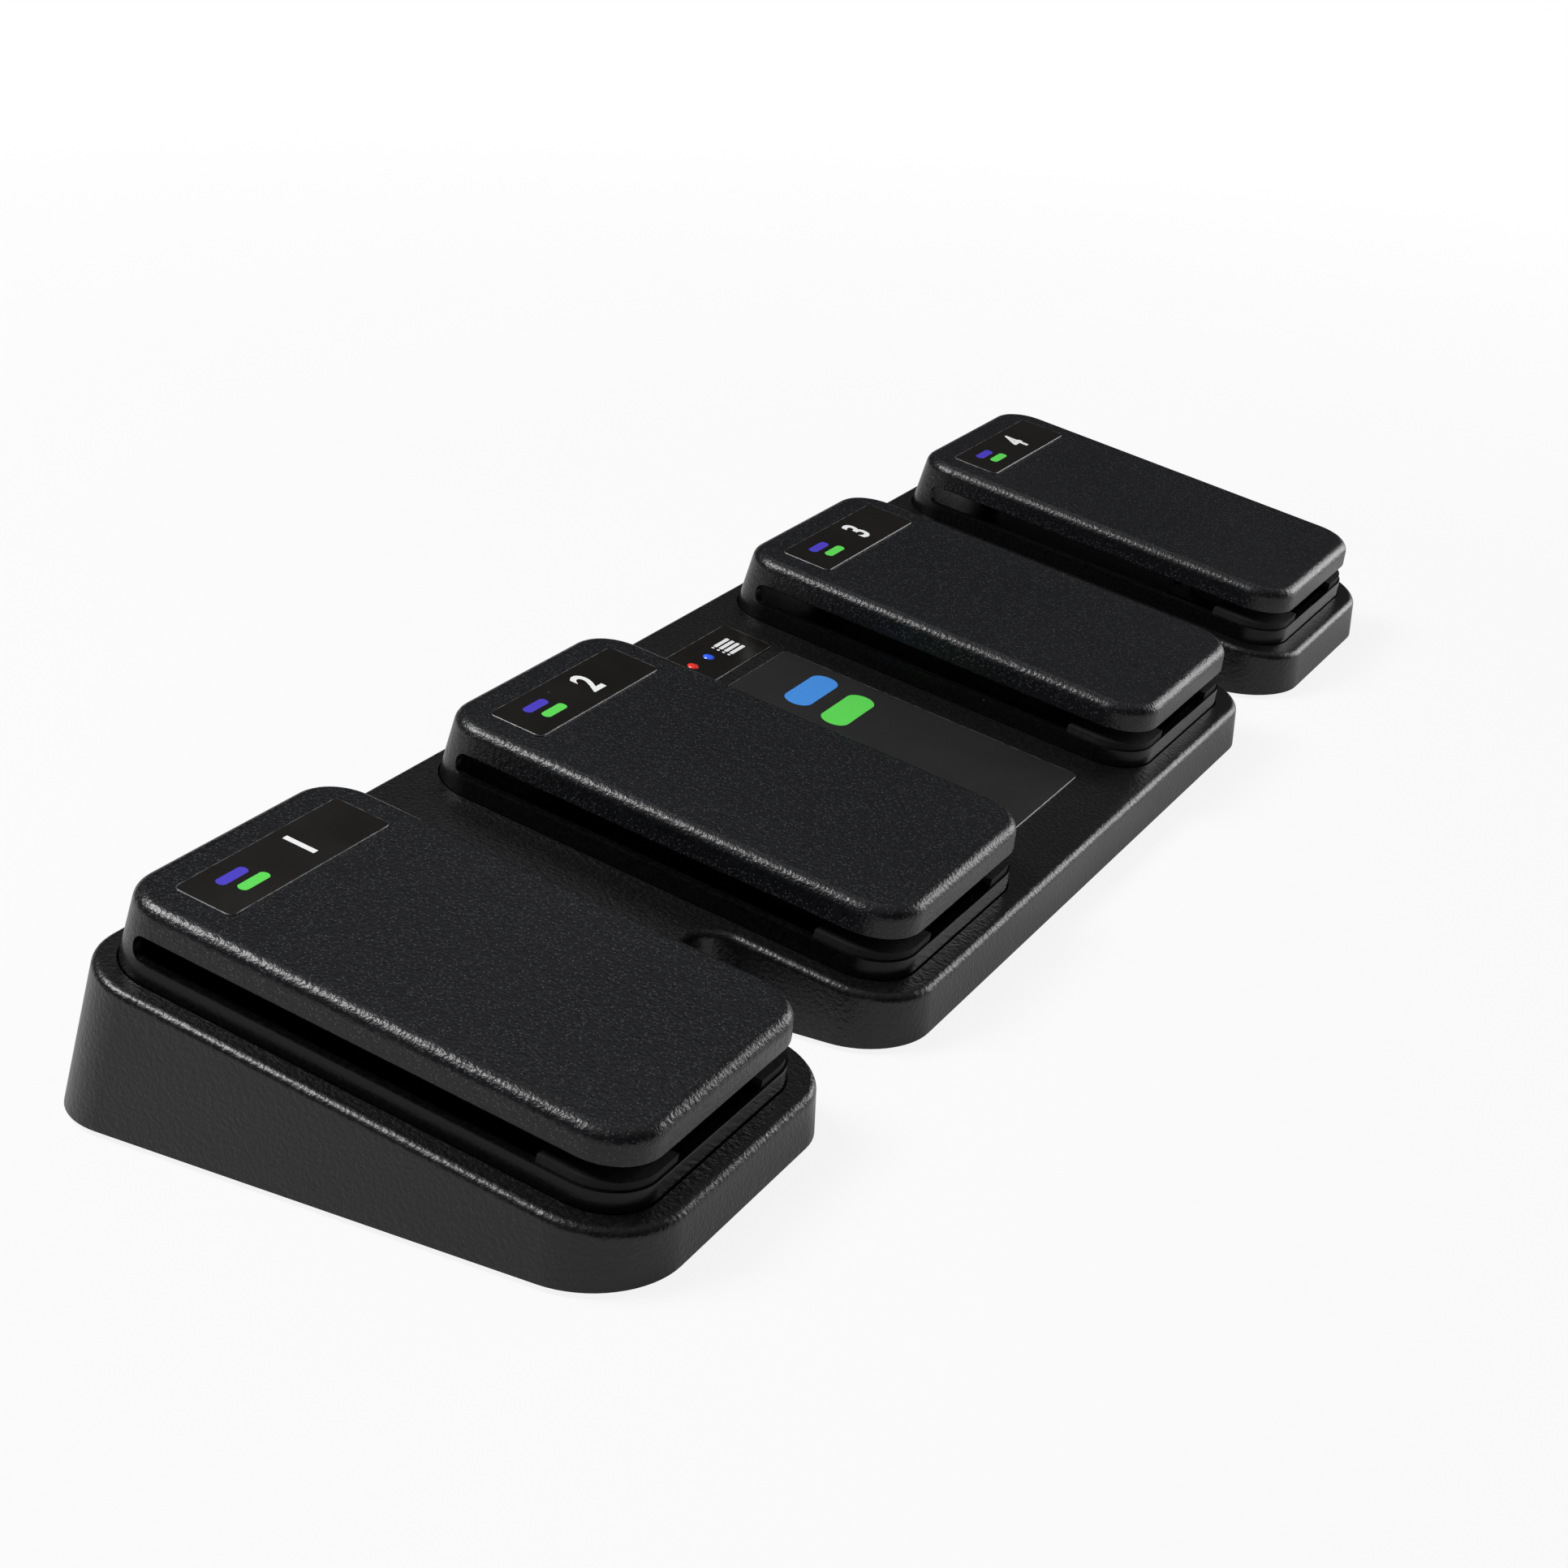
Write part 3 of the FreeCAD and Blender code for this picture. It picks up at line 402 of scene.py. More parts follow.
# Moulded plastic: range of the pebbles' tone and its two shades, width of the uneven flow and
# what it does to the gloss, and the painted glints' spacing, radius in spacings, share left out
# and colour: pale specks painted into the colour as highlights
PEBBLE_TONE = (0.35, 0.7)
PEBBLE_SHADES = (0.5, 1.6)
FLOW = 60 * MM
FLOW_GLOSS = 0.03
PAINTED_GLINTS = (0.6 * MM, 0.34, 0.5)
PAINTED_GLINT_COLOUR = "3d3e41"

# Dust about a centimetre apart and half a millimetre across, and its colour on plastic and film
DUST = (9 * MM, 0.03, 0.62, 0.7)
DUST_COLOURS = ("4d4c49", "5d5c58")

# Width of a film's orange-peel and smears, and the depth of a faint relief
PEEL = 3 * MM
SMEAR = 14 * MM
FAINT = 0.01 * MM

# The pale and the dark parts of a film's cut edge, whose pale colour is a painted highlight
EDGE_TONE = (0.4, 0.65)
EDGE_DARK = "2a2a2a"

# Depth of a relief as a share of its grain
RUBBER_RELIEF = 0.12
PLASTIC_RELIEF = 0.03


def add_node(tree, kind, inputs, output=0, **settings):
    """Add a node and return one of its outputs.

    Inputs are given by name or in their order. Sockets are linked, and other values are set.
    A Mix node of colours takes its factor as 0 and its colours as 6 and 7, and gives output 2.
    """
    node = tree.nodes.new("ShaderNode" + kind)
    for name, value in settings.items():
        setattr(node, name, value)
    for key, value in inputs.items() if isinstance(inputs, dict) else enumerate(inputs):
        if isinstance(value, bpy.types.NodeSocket):
            tree.links.new(value, node.inputs[key])
        else:
            node.inputs[key].default_value = value
    return node.outputs[output] if node.outputs else None


def scaled(shade, share):
    """A colour made darker or lighter."""
    return (*(part * share for part in shade[:3]), 1.0)


def speckle(tree, spot, apart, radius, left_out, strength):
    """Mask of round specks: their spacing, radius in spacings, share left out and strength."""
    cells = add_node(tree, "TexVoronoi", {"Vector": spot, "Scale": 1 / apart,
                     "Randomness": 1.0}, "Distance")
    near = add_node(tree, "MapRange", (cells, 0.6 * radius, radius, 1.0, 0.0))
    drawn = add_node(tree, "SeparateColor", {"Color": cells.node.outputs["Color"]})
    some = add_node(tree, "MapRange", (drawn, left_out, left_out + 0.02, 0.0, strength))
    return add_node(tree, "Math", (near, some), operation="MULTIPLY")


def mottled(tree, spot, shade, grain, detail, shares, raggedness=0.5):
    """Noise of a grain in millimetres, and the colour that it gives between shares of a shade."""
    noise = add_node(tree, "TexNoise", {"Vector": spot, "Scale": 1 / (grain * MM),
                     "Detail": detail, "Roughness": raggedness})
    dark, pale = (scaled(shade, share) for share in shares)
    return noise, add_node(tree, "Mix", {0: noise, 6: dark, 7: pale}, 2, data_type="RGBA")


def embossed(tree, pattern, strength, depth, inputs):
    """Shader with the given inputs, and a relief that follows a pattern."""
    bump = add_node(tree, "Bump", {"Strength": strength, "Distance": depth, "Height": pattern})
    return add_node(tree, "BsdfPrincipled", {**inputs, "Normal": bump})


def moulded_abs(tree, spot, shade, grain, relief, roughness, ior, painted_glint_strength):
    """Black ABS, injection moulded in a tool with a spark-eroded surface.

    The tool leaves fine rounded pebbles, so the plastic is satin and light along a rounded edge
    breaks up into glints. Pale specks on the pebble tops are painted highlights, drawn into the
    colour. The real grain is about 0.2 mm wide, too fine to show, and is drawn some four times as
    coarse. The pedals' rims come from a polished part of the tool and mirror more clearly.
    """
    pebbles = add_node(tree, "TexNoise", {"Vector": spot, "Scale": 1 / (grain * MM),
                       "Detail": 2.0, "Roughness": 0.55})
    flow = add_node(tree, "TexNoise", {"Vector": spot, "Scale": 1 / FLOW, "Detail": 2.0})
    tone = add_node(tree, "MapRange", (pebbles, *PEBBLE_TONE, 0.0, 1.0))
    dark, pale = (scaled(shade, share) for share in PEBBLE_SHADES)
    base = add_node(tree, "Mix", {0: tone, 6: dark, 7: pale}, 2, data_type="RGBA")
    # Pale specks on top of the tone: painted glints, which are highlights drawn into the colour,
    # and dust
    for specks, pale in ((speckle(tree, spot, *PAINTED_GLINTS, painted_glint_strength), PAINTED_GLINT_COLOUR),
                         (speckle(tree, spot, *DUST), DUST_COLOURS[0])):
        base = add_node(tree, "Mix", {0: specks, 6: base, 7: linear(pale)}, 2, data_type="RGBA")
    gloss = add_node(tree, "MapRange", (flow, *NOISE, roughness - FLOW_GLOSS,
                                        roughness + FLOW_GLOSS))
    return embossed(tree, pebbles, 1.0, relief * MM, {"Base Color": base, "IOR": ior,
                                                      "Roughness": gloss})


def label_film(tree, spot, shade, roughness, haze):
    """Black polyester film with a hard coat, printed from behind.

    It lies flat and is smoother than the plastic round it, so it shows a darker, clearer
    reflection with only a slight orange-peel.
    """
    peel = add_node(tree, "TexNoise", {"Vector": spot, "Scale": 1 / PEEL, "Detail": 2.0})
    smear = add_node(tree, "TexNoise", {"Vector": spot, "Scale": 1 / SMEAR, "Detail": 4.0})
    base = add_node(tree, "Mix", {0: speckle(tree, spot, *DUST), 6: shade,
                    7: linear(DUST_COLOURS[1])}, 2, data_type="RGBA")
    gloss = add_node(tree, "MapRange", (smear, *NOISE, roughness, roughness + haze))
    return embossed(tree, peel, 0.5, FAINT, {"Base Color": base, "IOR": 1.5, "Roughness": gloss})


def cut_film_edge(tree, spot, shade):
    """Die-cut edge of clear polyester film, which pipes light; its pale thin line is a painted
    highlight.
    """
    nicks = add_node(tree, "TexNoise", {"Vector": spot, "Scale": 1 / (2 * MM), "Detail": 3.0})
    pale = add_node(tree, "MapRange", (nicks, *EDGE_TONE, 0.0, 1.0))
    base = add_node(tree, "Mix", {0: pale, 6: linear(EDGE_DARK), 7: shade}, 2, data_type="RGBA")
    return add_node(tree, "BsdfPrincipled", {"Base Color": base, "IOR": 1.6, "Roughness": 0.3})


def screen_ink(tree, spot, shade):
    """Screen-printed ink under the label's coat: flat, opaque, slightly uneven."""
    base = mottled(tree, spot, shade, 0.8, 2.0, (0.92, 1.0))[1]
    return add_node(tree, "BsdfPrincipled", {"Base Color": base, "IOR": 1.5, "Roughness": 0.32})


def light_pipe_acrylic(tree, spot, shade):
    """Tinted acrylic light pipe: glossy, with a diffusing body given a faint painted glow, an
    emission of its own colour.
    """
    base = mottled(tree, spot, shade, 1.2, 2.0, (0.85, 1.1))[1]
    # Painted glow: the pipe emits a little of its own colour, though it is no lamp
    return add_node(tree, "BsdfPrincipled", {"Base Color": base, "IOR": 1.49, "Roughness": 0.22,
                    "Emission Color": base, "Emission Strength": 0.12})


def rubber(tree, spot, shade, grain, roughness):
    """Moulded rubber or silicone: soft, matt, with a fine bloom and moulding grain."""
    bloom, base = mottled(tree, spot, shade, grain, 5.0, (0.6, 1.6), 0.7)
    return embossed(tree, bloom, 1.0, RUBBER_RELIEF * grain * MM,
                    {"Base Color": base, "IOR": 1.41, "Roughness": roughness})


def plated_metal(tree, spot, shade, roughness, brushing):
    """Plated or bright metal with faint drawing marks left by forming."""
    stretched = add_node(tree, "Mapping", {"Vector": spot, "Scale": (1.0, 12.0, 1.0)})
    marks = add_node(tree, "TexNoise", {"Vector": stretched, "Scale": 1 / (brushing * MM),
                     "Detail": 3.0})
    gloss = add_node(tree, "MapRange", (marks, *NOISE, roughness - 0.05, roughness + 0.08))
    return embossed(tree, marks, 0.3, 2 * FAINT, {"Base Color": shade, "Metallic": 1.0,
                                                  "Roughness": gloss})


def solder_masked_board(tree, spot, shade):
    """Glass-epoxy circuit board under green solder mask, with the weave showing faintly."""
    weave = add_node(tree, "TexWave", {"Vector": spot, "Scale": 1 / (1.6 * MM),
                     "Distortion": 1.0}, "Fac", bands_direction="DIAGONAL")
    cloud = add_node(tree, "TexNoise", {"Vector": spot, "Scale": 1 / (5 * MM), "Detail": 3.0})
    tone = add_node(tree, "Math", (weave, cloud), operation="MULTIPLY")
    base = add_node(tree, "Mix", {0: tone, 6: scaled(shade, 0.75), 7: scaled(shade, 1.3)}, 2,
                    data_type="RGBA")
    return embossed(tree, weave, 0.3, FAINT, {"Base Color": base, "IOR": 1.55, "Roughness": 0.3})


def plain_plastic(tree, spot, shade, grain, roughness):
    """Small moulded or wrapped plastic part, satin, with slight mottling."""
    mottle, base = mottled(tree, spot, shade, grain, 4.0, (0.85, 1.15))
    gloss = add_node(tree, "MapRange", (mottle, *NOISE, roughness - 0.05, roughness + 0.05))
    return embossed(tree, mottle, 0.5, PLASTIC_RELIEF * grain * MM,
                    {"Base Color": base, "IOR": 1.5, "Roughness": gloss})


def pale_floor(tree, spot, shade):
    """Matt floor that looks white, whiter far from the object, and keeps part of its shadow."""
    base = mottled(tree, spot, shade, 40.0, 2.0, (0.99, 1.0))[1]
    lit = add_node(tree, "BsdfDiffuse", {"Color": base})
    white = add_node(tree, "Emission", {"Color": WHITE, "Strength": 1.0})
    away = add_node(tree, "VectorMath", (spot,), "Value", operation="LENGTH")
    share = add_node(tree, "MapRange", (away, *WHITE_FROM_TO, WHITE_NEAR, 1.0))
    camera = add_node(tree, "LightPath", {}, "Is Camera Ray")
    rays = camera.node.outputs
    mirrored = add_node(tree, "Math", (rays["Is Glossy Ray"], WHITE_MIRRORED),
                        operation="MULTIPLY")
    seen = add_node(tree, "Math", (camera, mirrored), operation="MAXIMUM")
    seen = add_node(tree, "Math", (seen, rays["Is Transmission Ray"]), operation="MAXIMUM")
    share = add_node(tree, "Math", (share, seen), operation="MULTIPLY")
    return add_node(tree, "MixShader", (share, lit, white))


# Recipe of each material, its colour or the name of a user's colour, and the recipe's own
# values in its order, of which grain, relief and brushing are in millimetres
MATERIALS = {
    "black_abs_casing": (moulded_abs, "casing", 1.0, 0.18, 0.34, 1.44, 0.2),
    "black_abs_pedal": (moulded_abs, "pedal", 0.85, 0.18, 0.32, 1.42, 0.9),
    "smooth_abs_rim": (moulded_abs, "casing", 0.85, 0.03, 0.24, 1.3, 0.0),
    "black_abs_plate": (moulded_abs, "casing", 1.2, 0.1, 0.45, 1.45, 0.2),
    "gloss_label_film": (label_film, "label", 0.16, 0.1),
    "satin_label_film": (label_film, "bay_label", 0.42, 0.08),
    "cut_film_edge": (cut_film_edge, "626367"),
    "white_ink": (screen_ink, "white_ink"),
    "blue_ink": (screen_ink, "blue_ink"),
    "violet_ink": (screen_ink, "violet_ink"),
    "green_ink": (screen_ink, "green_ink"),
    "red_acrylic": (light_pipe_acrylic, "red_light"),
    "blue_acrylic": (light_pipe_acrylic, "blue_light"),
    "frosted_pad_rubber": (rubber, "0b0b0a", 1.4, 0.75),
    "foot_rubber": (rubber, "1d1d1d", 0.8, 0.75),
    "dome_silicone": (rubber, "8c8d8a", 1.0, 0.55),
    "dark_grey_foam": (rubber, "333334", 0.6, 0.9),
    "blackened_steel": (plated_metal, "48484b", 0.35, 1.5),
    "tinned_steel_can": (plated_metal, "c2c2be", 0.35, 3.0),
    "stamped_stainless_steel": (plated_metal, "b0aea9", 0.28, 1.0),
    "foil_pouch": (plated_metal, "a4a6aa", 0.45, 6.0),
    "green_solder_mask": (solder_masked_board, "1d5a34"),
    "white_lamp_resin": (plain_plastic, "d9d8ce", 1.0, 0.4),
    "black_nylon": (plain_plastic, "1a1a1b", 0.6, 0.5),
    "black_pom_knob": (plain_plastic, "202122", 0.8, 0.38),
    "grey_pvc_ribbon": (plain_plastic, "8f9296", 1.2, 0.45),
    "pale_floor": (pale_floor, "floor"),
}


def material(name):
    """Material of the scene by its name, made when it is first asked for."""
    made = bpy.data.materials.get(name)
    if made is None:
        recipe, shade, *values = MATERIALS[name]
        chosen = bpy.context.scene.finishes
        shade = getattr(chosen, shade) if hasattr(chosen, shade) else linear(shade)
        made = bpy.data.materials.new(name)
        made.use_nodes = True
        tree = made.node_tree
        tree.nodes.clear()
        spot = add_node(tree, "TexCoord", {}, "Object")
        add_node(tree, "OutputMaterial", {"Surface": recipe(tree, spot, shade, *values)})
    return made


# Openings of the casing: the gaps round a light pipe and in the rear wall, the lights'
# diameter, and that of the button's face
LIGHTS = ("red_light_pipe", "blue_light_pipe")
LIGHT_DIAMETER = 2.8 * MM
LIGHT_GAP = 0.1 * MM
HOLE_GAP = 0.3 * MM
BUTTON_DIAMETER = 5.0 * MM


def light_place(name):
    """Where a light pipe meets the deck, as (x, along the slope, radius)."""
    low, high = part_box(name)
    radius = LIGHT_DIAMETER / 2
    flush = on_deck(up=bpy.context.scene.label_sizes.thickness).translation
    along = (high.z - flush.z) / math.sin(bpy.context.scene.casing_sizes.tilt) - radius
    return (low.x + high.x) / 2, along, radius


def rear_holes():
    """Rear openings, as (corners, x, height): the socket, the knob's slot and the button."""
    travel = next(j["range_m"][1] for j in frame["joints"] if j["name"] == "power_switch_slide")
    holes = []
    for node, run, face in (("charging_socket", 0.0, None), ("power_switch_knob", travel, None),
                            ("mode_button", 0.0, BUTTON_DIAMETER)):
        low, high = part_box(node)
        width = (face or high.x - low.x) + run + 2 * HOLE_GAP
        height = (face or high.z - low.z) + 2 * HOLE_GAP
        radius = HOLE_GAP if run else height / 2 - NEARLY_ROUND
        holes.append((rectangle(width, height, radius), (low.x + high.x + run) / 2,
                      (low.z + high.z) / 2))
    return holes


class FOOTSWITCH_OT_casing(bpy.types.Operator):
    """Build the wedge-shaped casing with its notches, pedal wells and rear openings"""

    bl_idname = "foot_switch.casing"
    bl_label = "Casing"

    def execute(self, context):
        sizes = context.scene.casing_sizes
        shell = self.wedge(sizes, 0.0, 0.0, sizes.edge_round)
        shell = combine(shell, self.wedge(sizes, sizes.wall, -sizes.wall, 0.0))
        shell = combine(shell, self.openings(context))
        show(shell, "casing_shell", ["black_abs_casing"], CASING_BODY,
             "base_shell")
        return {"FINISHED"}

    def plan(self, sizes, inset, height):
        """Corners of the casing at a height, drawn in by inset."""
        rise = height - CASING_LOW.z
        lean = inset + math.tan(sizes.side_draft) * rise
        right = CASING_HIGH.x - lean
        front = CASING_LOW.y + inset
        rear = CASING_HIGH.y - inset - math.tan(sizes.rear_draft) * rise
        end = CASING_LOW.y + sizes.notch_depth + lean
        middle = (PEDAL_XS[2] + PEDAL_XS[3]) / 2
        half = sizes.notch_width / 2 + lean
        lobe, notch = sizes.lobe_corner - inset, sizes.notch_corner + inset
        corners = [(-right, front, sizes.front_corner - inset)]
        for x in (-middle, middle):
            corners += [(x - half, front, lobe), (x - half, end, notch),
                        (x + half, end, notch), (x + half, front, lobe)]
        corners.append((right, front, sizes.front_corner - inset))
        corners += [(x, rear, sizes.rear_corner - inset) for x in (right, -right)]
        return corners

    def wedge(self, sizes, inset, up, edge_round):
        """Solid wedge with leaning walls, up to a plane this far above the deck."""
        bm = bmesh.new()
        low = CASING_LOW.z - (REACH if inset else 0.0)
        rings = []
        for height in (low, 2 * CASING_HIGH.z):
            corners = self.plan(sizes, inset, height)
            rings.append([bm.verts.new((x, y, height)) for x, y, radius in corners])
        loops = [bm.faces.new(verts).edges[:] for verts in rings]
        bmesh.ops.bridge_loops(bm, edges=loops[0] + loops[1])
        bmesh.ops.recalc_face_normals(bm, faces=bm.faces[:])
        uprights = {}
        for vert, corner in zip(rings[0], corners):
            edge = next(e for e in vert.link_edges if e.other_vert(vert).co.z > CASING_HIGH.z)
            uprights.setdefault(corner[2], []).append(edge)
        for radius, edges in sorted(uprights.items()):
            round_edges(bm, edges, radius, CORNER_STEPS)
        matrix = on_deck(up=up)
        deck = clear_past(bm, matrix.translation, matrix.to_3x3() @ Vector((0, 0, 1)))[0]
        if edge_round:
            round_edges(bm, deck.edges, edge_round)
        return bm

    def openings(self, context):
        """Cutters for the pedal wells, the light windows and the rear wall."""
        wall, pedal = context.scene.casing_sizes.wall, context.scene.pedal_sizes
        bm = bmesh.new()
        deep = pedal.tray_depth + pedal.tray_floor + pedal.well_gap
        for x in PEDAL_XS:
            prism(bm, pedal_outline(-pedal.well_gap), -deep, pedal.rim_height, on_deck(x))
        for light in LIGHTS:
            x, along, radius = light_place(light)
            rod(bm, radius + LIGHT_GAP, -2 * wall, 2 * wall, on_deck(x, along))
        for corners, x, z in rear_holes():
            back = Matrix.Translation((x, CASING_HIGH.y, z)) @ Matrix.Rotation(math.pi / 2, 4, "X")
            prism(bm, corners, -2 * wall, 3 * wall, back)
        return bm


# Inside the pressed plate
PLUNGER_DIAMETER = 7.0 * MM
PLUNGER_END = 4.6 * MM
DOME_ALONG = -30.03 * MM
RIB_WIDTH = 1.6 * MM
RIB_DEPTH = 2.4 * MM
RIB_X = 18.0 * MM

# Inside the tray
FLANGE_WIDTH = 1.6 * MM
RIBBON_SLOT = (7.0 * MM, 1.8 * MM)
RIBBON_SLOT_ALONG = -18.13 * MM
PEG_DIAMETER = 1.8 * MM
PEG_X = 10.4 * MM
PEG_ALONG = 8.4 * MM
PEG_TOP = -2.4 * MM

# Corner pads: gap to the wall, margin on the rim and height of the top
PAD_GAP = 0.3 * MM
PAD_LIP = 0.6 * MM
PAD_TOP = 5.74 * MM


class FOOTSWITCH_OT_pedals(bpy.types.Operator):
    """Build the four pedals: pressed plates, hinges, rims with trays and corner pads"""

    bl_idname = "foot_switch.pedals"
    bl_label = "Pedals"

    def execute(self, context):
        sizes = context.scene.pedal_sizes
        for number, x in zip(PEDALS, PEDAL_XS):
            name = "pedal_%d" % number
            self.pressed_plate(sizes, name, x)
            self.hinge(sizes, name, x)
            self.rim(sizes, name, x)
            self.corner_pads(sizes, name, x)
        return {"FINISHED"}

    def pressed_plate(self, sizes, name, x):
        """Shallow hollow lid with a rounded edge, two ribs and the dome's plunger."""
        low = slot_bottom_and_top()[1]
        ceiling = sizes.height - sizes.plate
        bm = pedal_body(0.0, low, sizes.height)
        bottom, top = lowest_and_highest(bm)
        free = in_front_of_hinge(bottom.edges)
        round_edges(bm, top.edges, sizes.edge_round)
        round_edges(bm, free, sizes.lip_round, LIP_STEPS)
        bm = combine(bm, pedal_body(sizes.wall, low - REACH, ceiling))
        inside = bmesh.new()
        rod(inside, PLUNGER_DIAMETER / 2, PLUNGER_END, ceiling + REACH,
            Matrix.Translation((0, DOME_ALONG, 0)))
        rib = (RIB_WIDTH, pedal_length() - 2 * sizes.wall, RIB_DEPTH + REACH)
        for side in (-1, 1):
            block(inside, rib, (side * RIB_X, 0, ceiling + (REACH - RIB_DEPTH) / 2))
        bm = place(combine(bm, inside, "UNION"), on_deck(x))
        show(bm, name + "_pressed_plate", ["black_abs_pedal"], name, name + "_cap")

    def hinge(self, sizes, name, x):
        """Thin wall behind the slot, which bends when the pedal is pressed; built here at rest."""
        low, high = slot_bottom_and_top()
        end, radius = slot_end()
        bm = combine(pedal_body(0.0, low, high), pedal_body(sizes.wall, low - REACH, high + REACH))
        cutter = bmesh.new()
        long = 2 * pedal_length()
        slot = rectangle(long, sizes.slot_height, radius, middle=(end + radius - long / 2, 0))
        upright = Matrix.Rotation(math.pi / 2, 4, "Z") @ Matrix.Rotation(math.pi / 2, 4, "X")
        prism(cutter, slot, -sizes.width, sizes.width,
              Matrix.Translation((0, 0, (low + high) / 2)) @ upright)
        bm = place(combine(bm, cutter), on_deck(x))
        piece = show(bm, name + "_hinge_wall", ["black_abs_pedal"],
                     stands_for=name + "_hinge")
        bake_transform(piece)

    def rim(self, sizes, name, x):
        """Fixed rim with its sunken tray, its bonding flanges and the pegs of the board."""
        low = -sizes.tray_depth - sizes.tray_floor
        bm = bmesh.new()
        face = rounded_plate(bm, pedal_outline(0.0), low)
        lift(bm, face, -low)
        lift(bm, face, sizes.rim_height, pedal_draft(sizes.rim_height))
        close(bm)
        free = in_front_of_hinge(lowest_and_highest(bm)[1].edges)
        round_edges(bm, free, sizes.lip_round, LIP_STEPS)
        flange = bmesh.new()
        across = rectangle(sizes.width + 2 * FLANGE_WIDTH, pedal_length(), sizes.corner)
        under = -bpy.context.scene.casing_sizes.wall
        prism(flange, across, under - FLANGE_WIDTH, under)
        bm = combine(bm, flange, "UNION")
        hollow = bmesh.new()
        face = rounded_plate(hollow, pedal_outline(sizes.wall), -sizes.tray_depth)
        lift(hollow, face, sizes.tray_depth)
        lift(hollow, face, sizes.rim_height + REACH, pedal_draft(sizes.rim_height + REACH))
        close(hollow)
        bm = combine(bm, hollow)
        slot = bmesh.new()
        block(slot, (*RIBBON_SLOT, 2 * sizes.tray_depth), (0, RIBBON_SLOT_ALONG, low))
        bm = combine(bm, slot)
        pegs = bmesh.new()
        for side in (-1, 1):
            spot = Matrix.Translation((side * PEG_X, DOME_ALONG + side * PEG_ALONG, 0))
            rod(pegs, PEG_DIAMETER / 2, -sizes.tray_depth - REACH, PEG_TOP, spot)
        bm = place(combine(bm, pegs, "UNION"), on_deck(x))
        show(bm, name + "_rim_tray", ["smooth_abs_rim"], CASING_BODY,
             name + "_frame")

    def corner_pads(self, sizes, name, x):
        """Two soft stops in the front corners, lapping the rim under the pressed plate."""
        both = bmesh.new()
        rim = pedal_draft(sizes.rim_height)
        edge = sizes.wall + PAD_GAP + rim
        front = sizes.pad_reach - pedal_length() / 2
        side = sizes.width / 2 - sizes.pad_reach
        for sign in (-1, 1):
            bm = bmesh.new()
            face = rounded_plate(bm, pedal_outline(rim + PAD_LIP), PAD_TOP)
            lift(bm, face, sizes.rim_height - PAD_TOP)
            lift(bm, face, 0.0, edge - rim - PAD_LIP)
            lift(bm, face, -sizes.tray_depth - sizes.rim_height)
            close(bm)
            hole = bmesh.new()
            prism(hole, pedal_outline(edge + sizes.pad_width), -2 * sizes.tray_depth, sizes.height)
            bm = combine(bm, hole)
            clear_past(bm, (0, front, 0), (0, 1, 0))
            clear_past(bm, (sign * side, 0, 0), (-sign, 0, 0))
            add_mesh(both, bm)
        show(place(both, on_deck(x)), name + "_soft_stops", ["frosted_pad_rubber"],
             CASING_BODY, name + "_corner_pads")


# Unprinted border of the films, and the part of their thickness that is broken off its edge
CLEAR_BORDER = 0.22 * MM
BROKEN_EDGE = 0.3

# What the numbers' strokes gain on each side, and a digit's share of the font's size
NUMBER_WEIGHT = 0.25 * MM
DIGIT_SHARE = 0.7

# Printed marks: which ink, then middle, width, height and corner radius in millimetres
PEDAL_BARS = ((0, -0.8, 1.9, 8.4, 2.3, 1.14), (1, 0.8, -1.9, 8.4, 2.3, 1.14))
BAY_BARS = ((0, 8.0, 25.0, 20.0, 7.0, 3.4), (1, 6.0, 14.0, 20.0, 7.0, 3.4))
INDICATOR_MARKS = [mark for y in (2.25, 0.75, -0.75, -2.25)
                   for mark in ((0, 12.6, y, 6.9, 1.0, 0.45), (0, 8.3, y, 0.8, 0.8, 0.39))]

BAY_LABELS = (
    ("indicator_film", "indicator_label", "gloss_label_film", "label_gloss"),
    ("bay_film", "centre_label", "satin_label_film", "label_satin"),
)


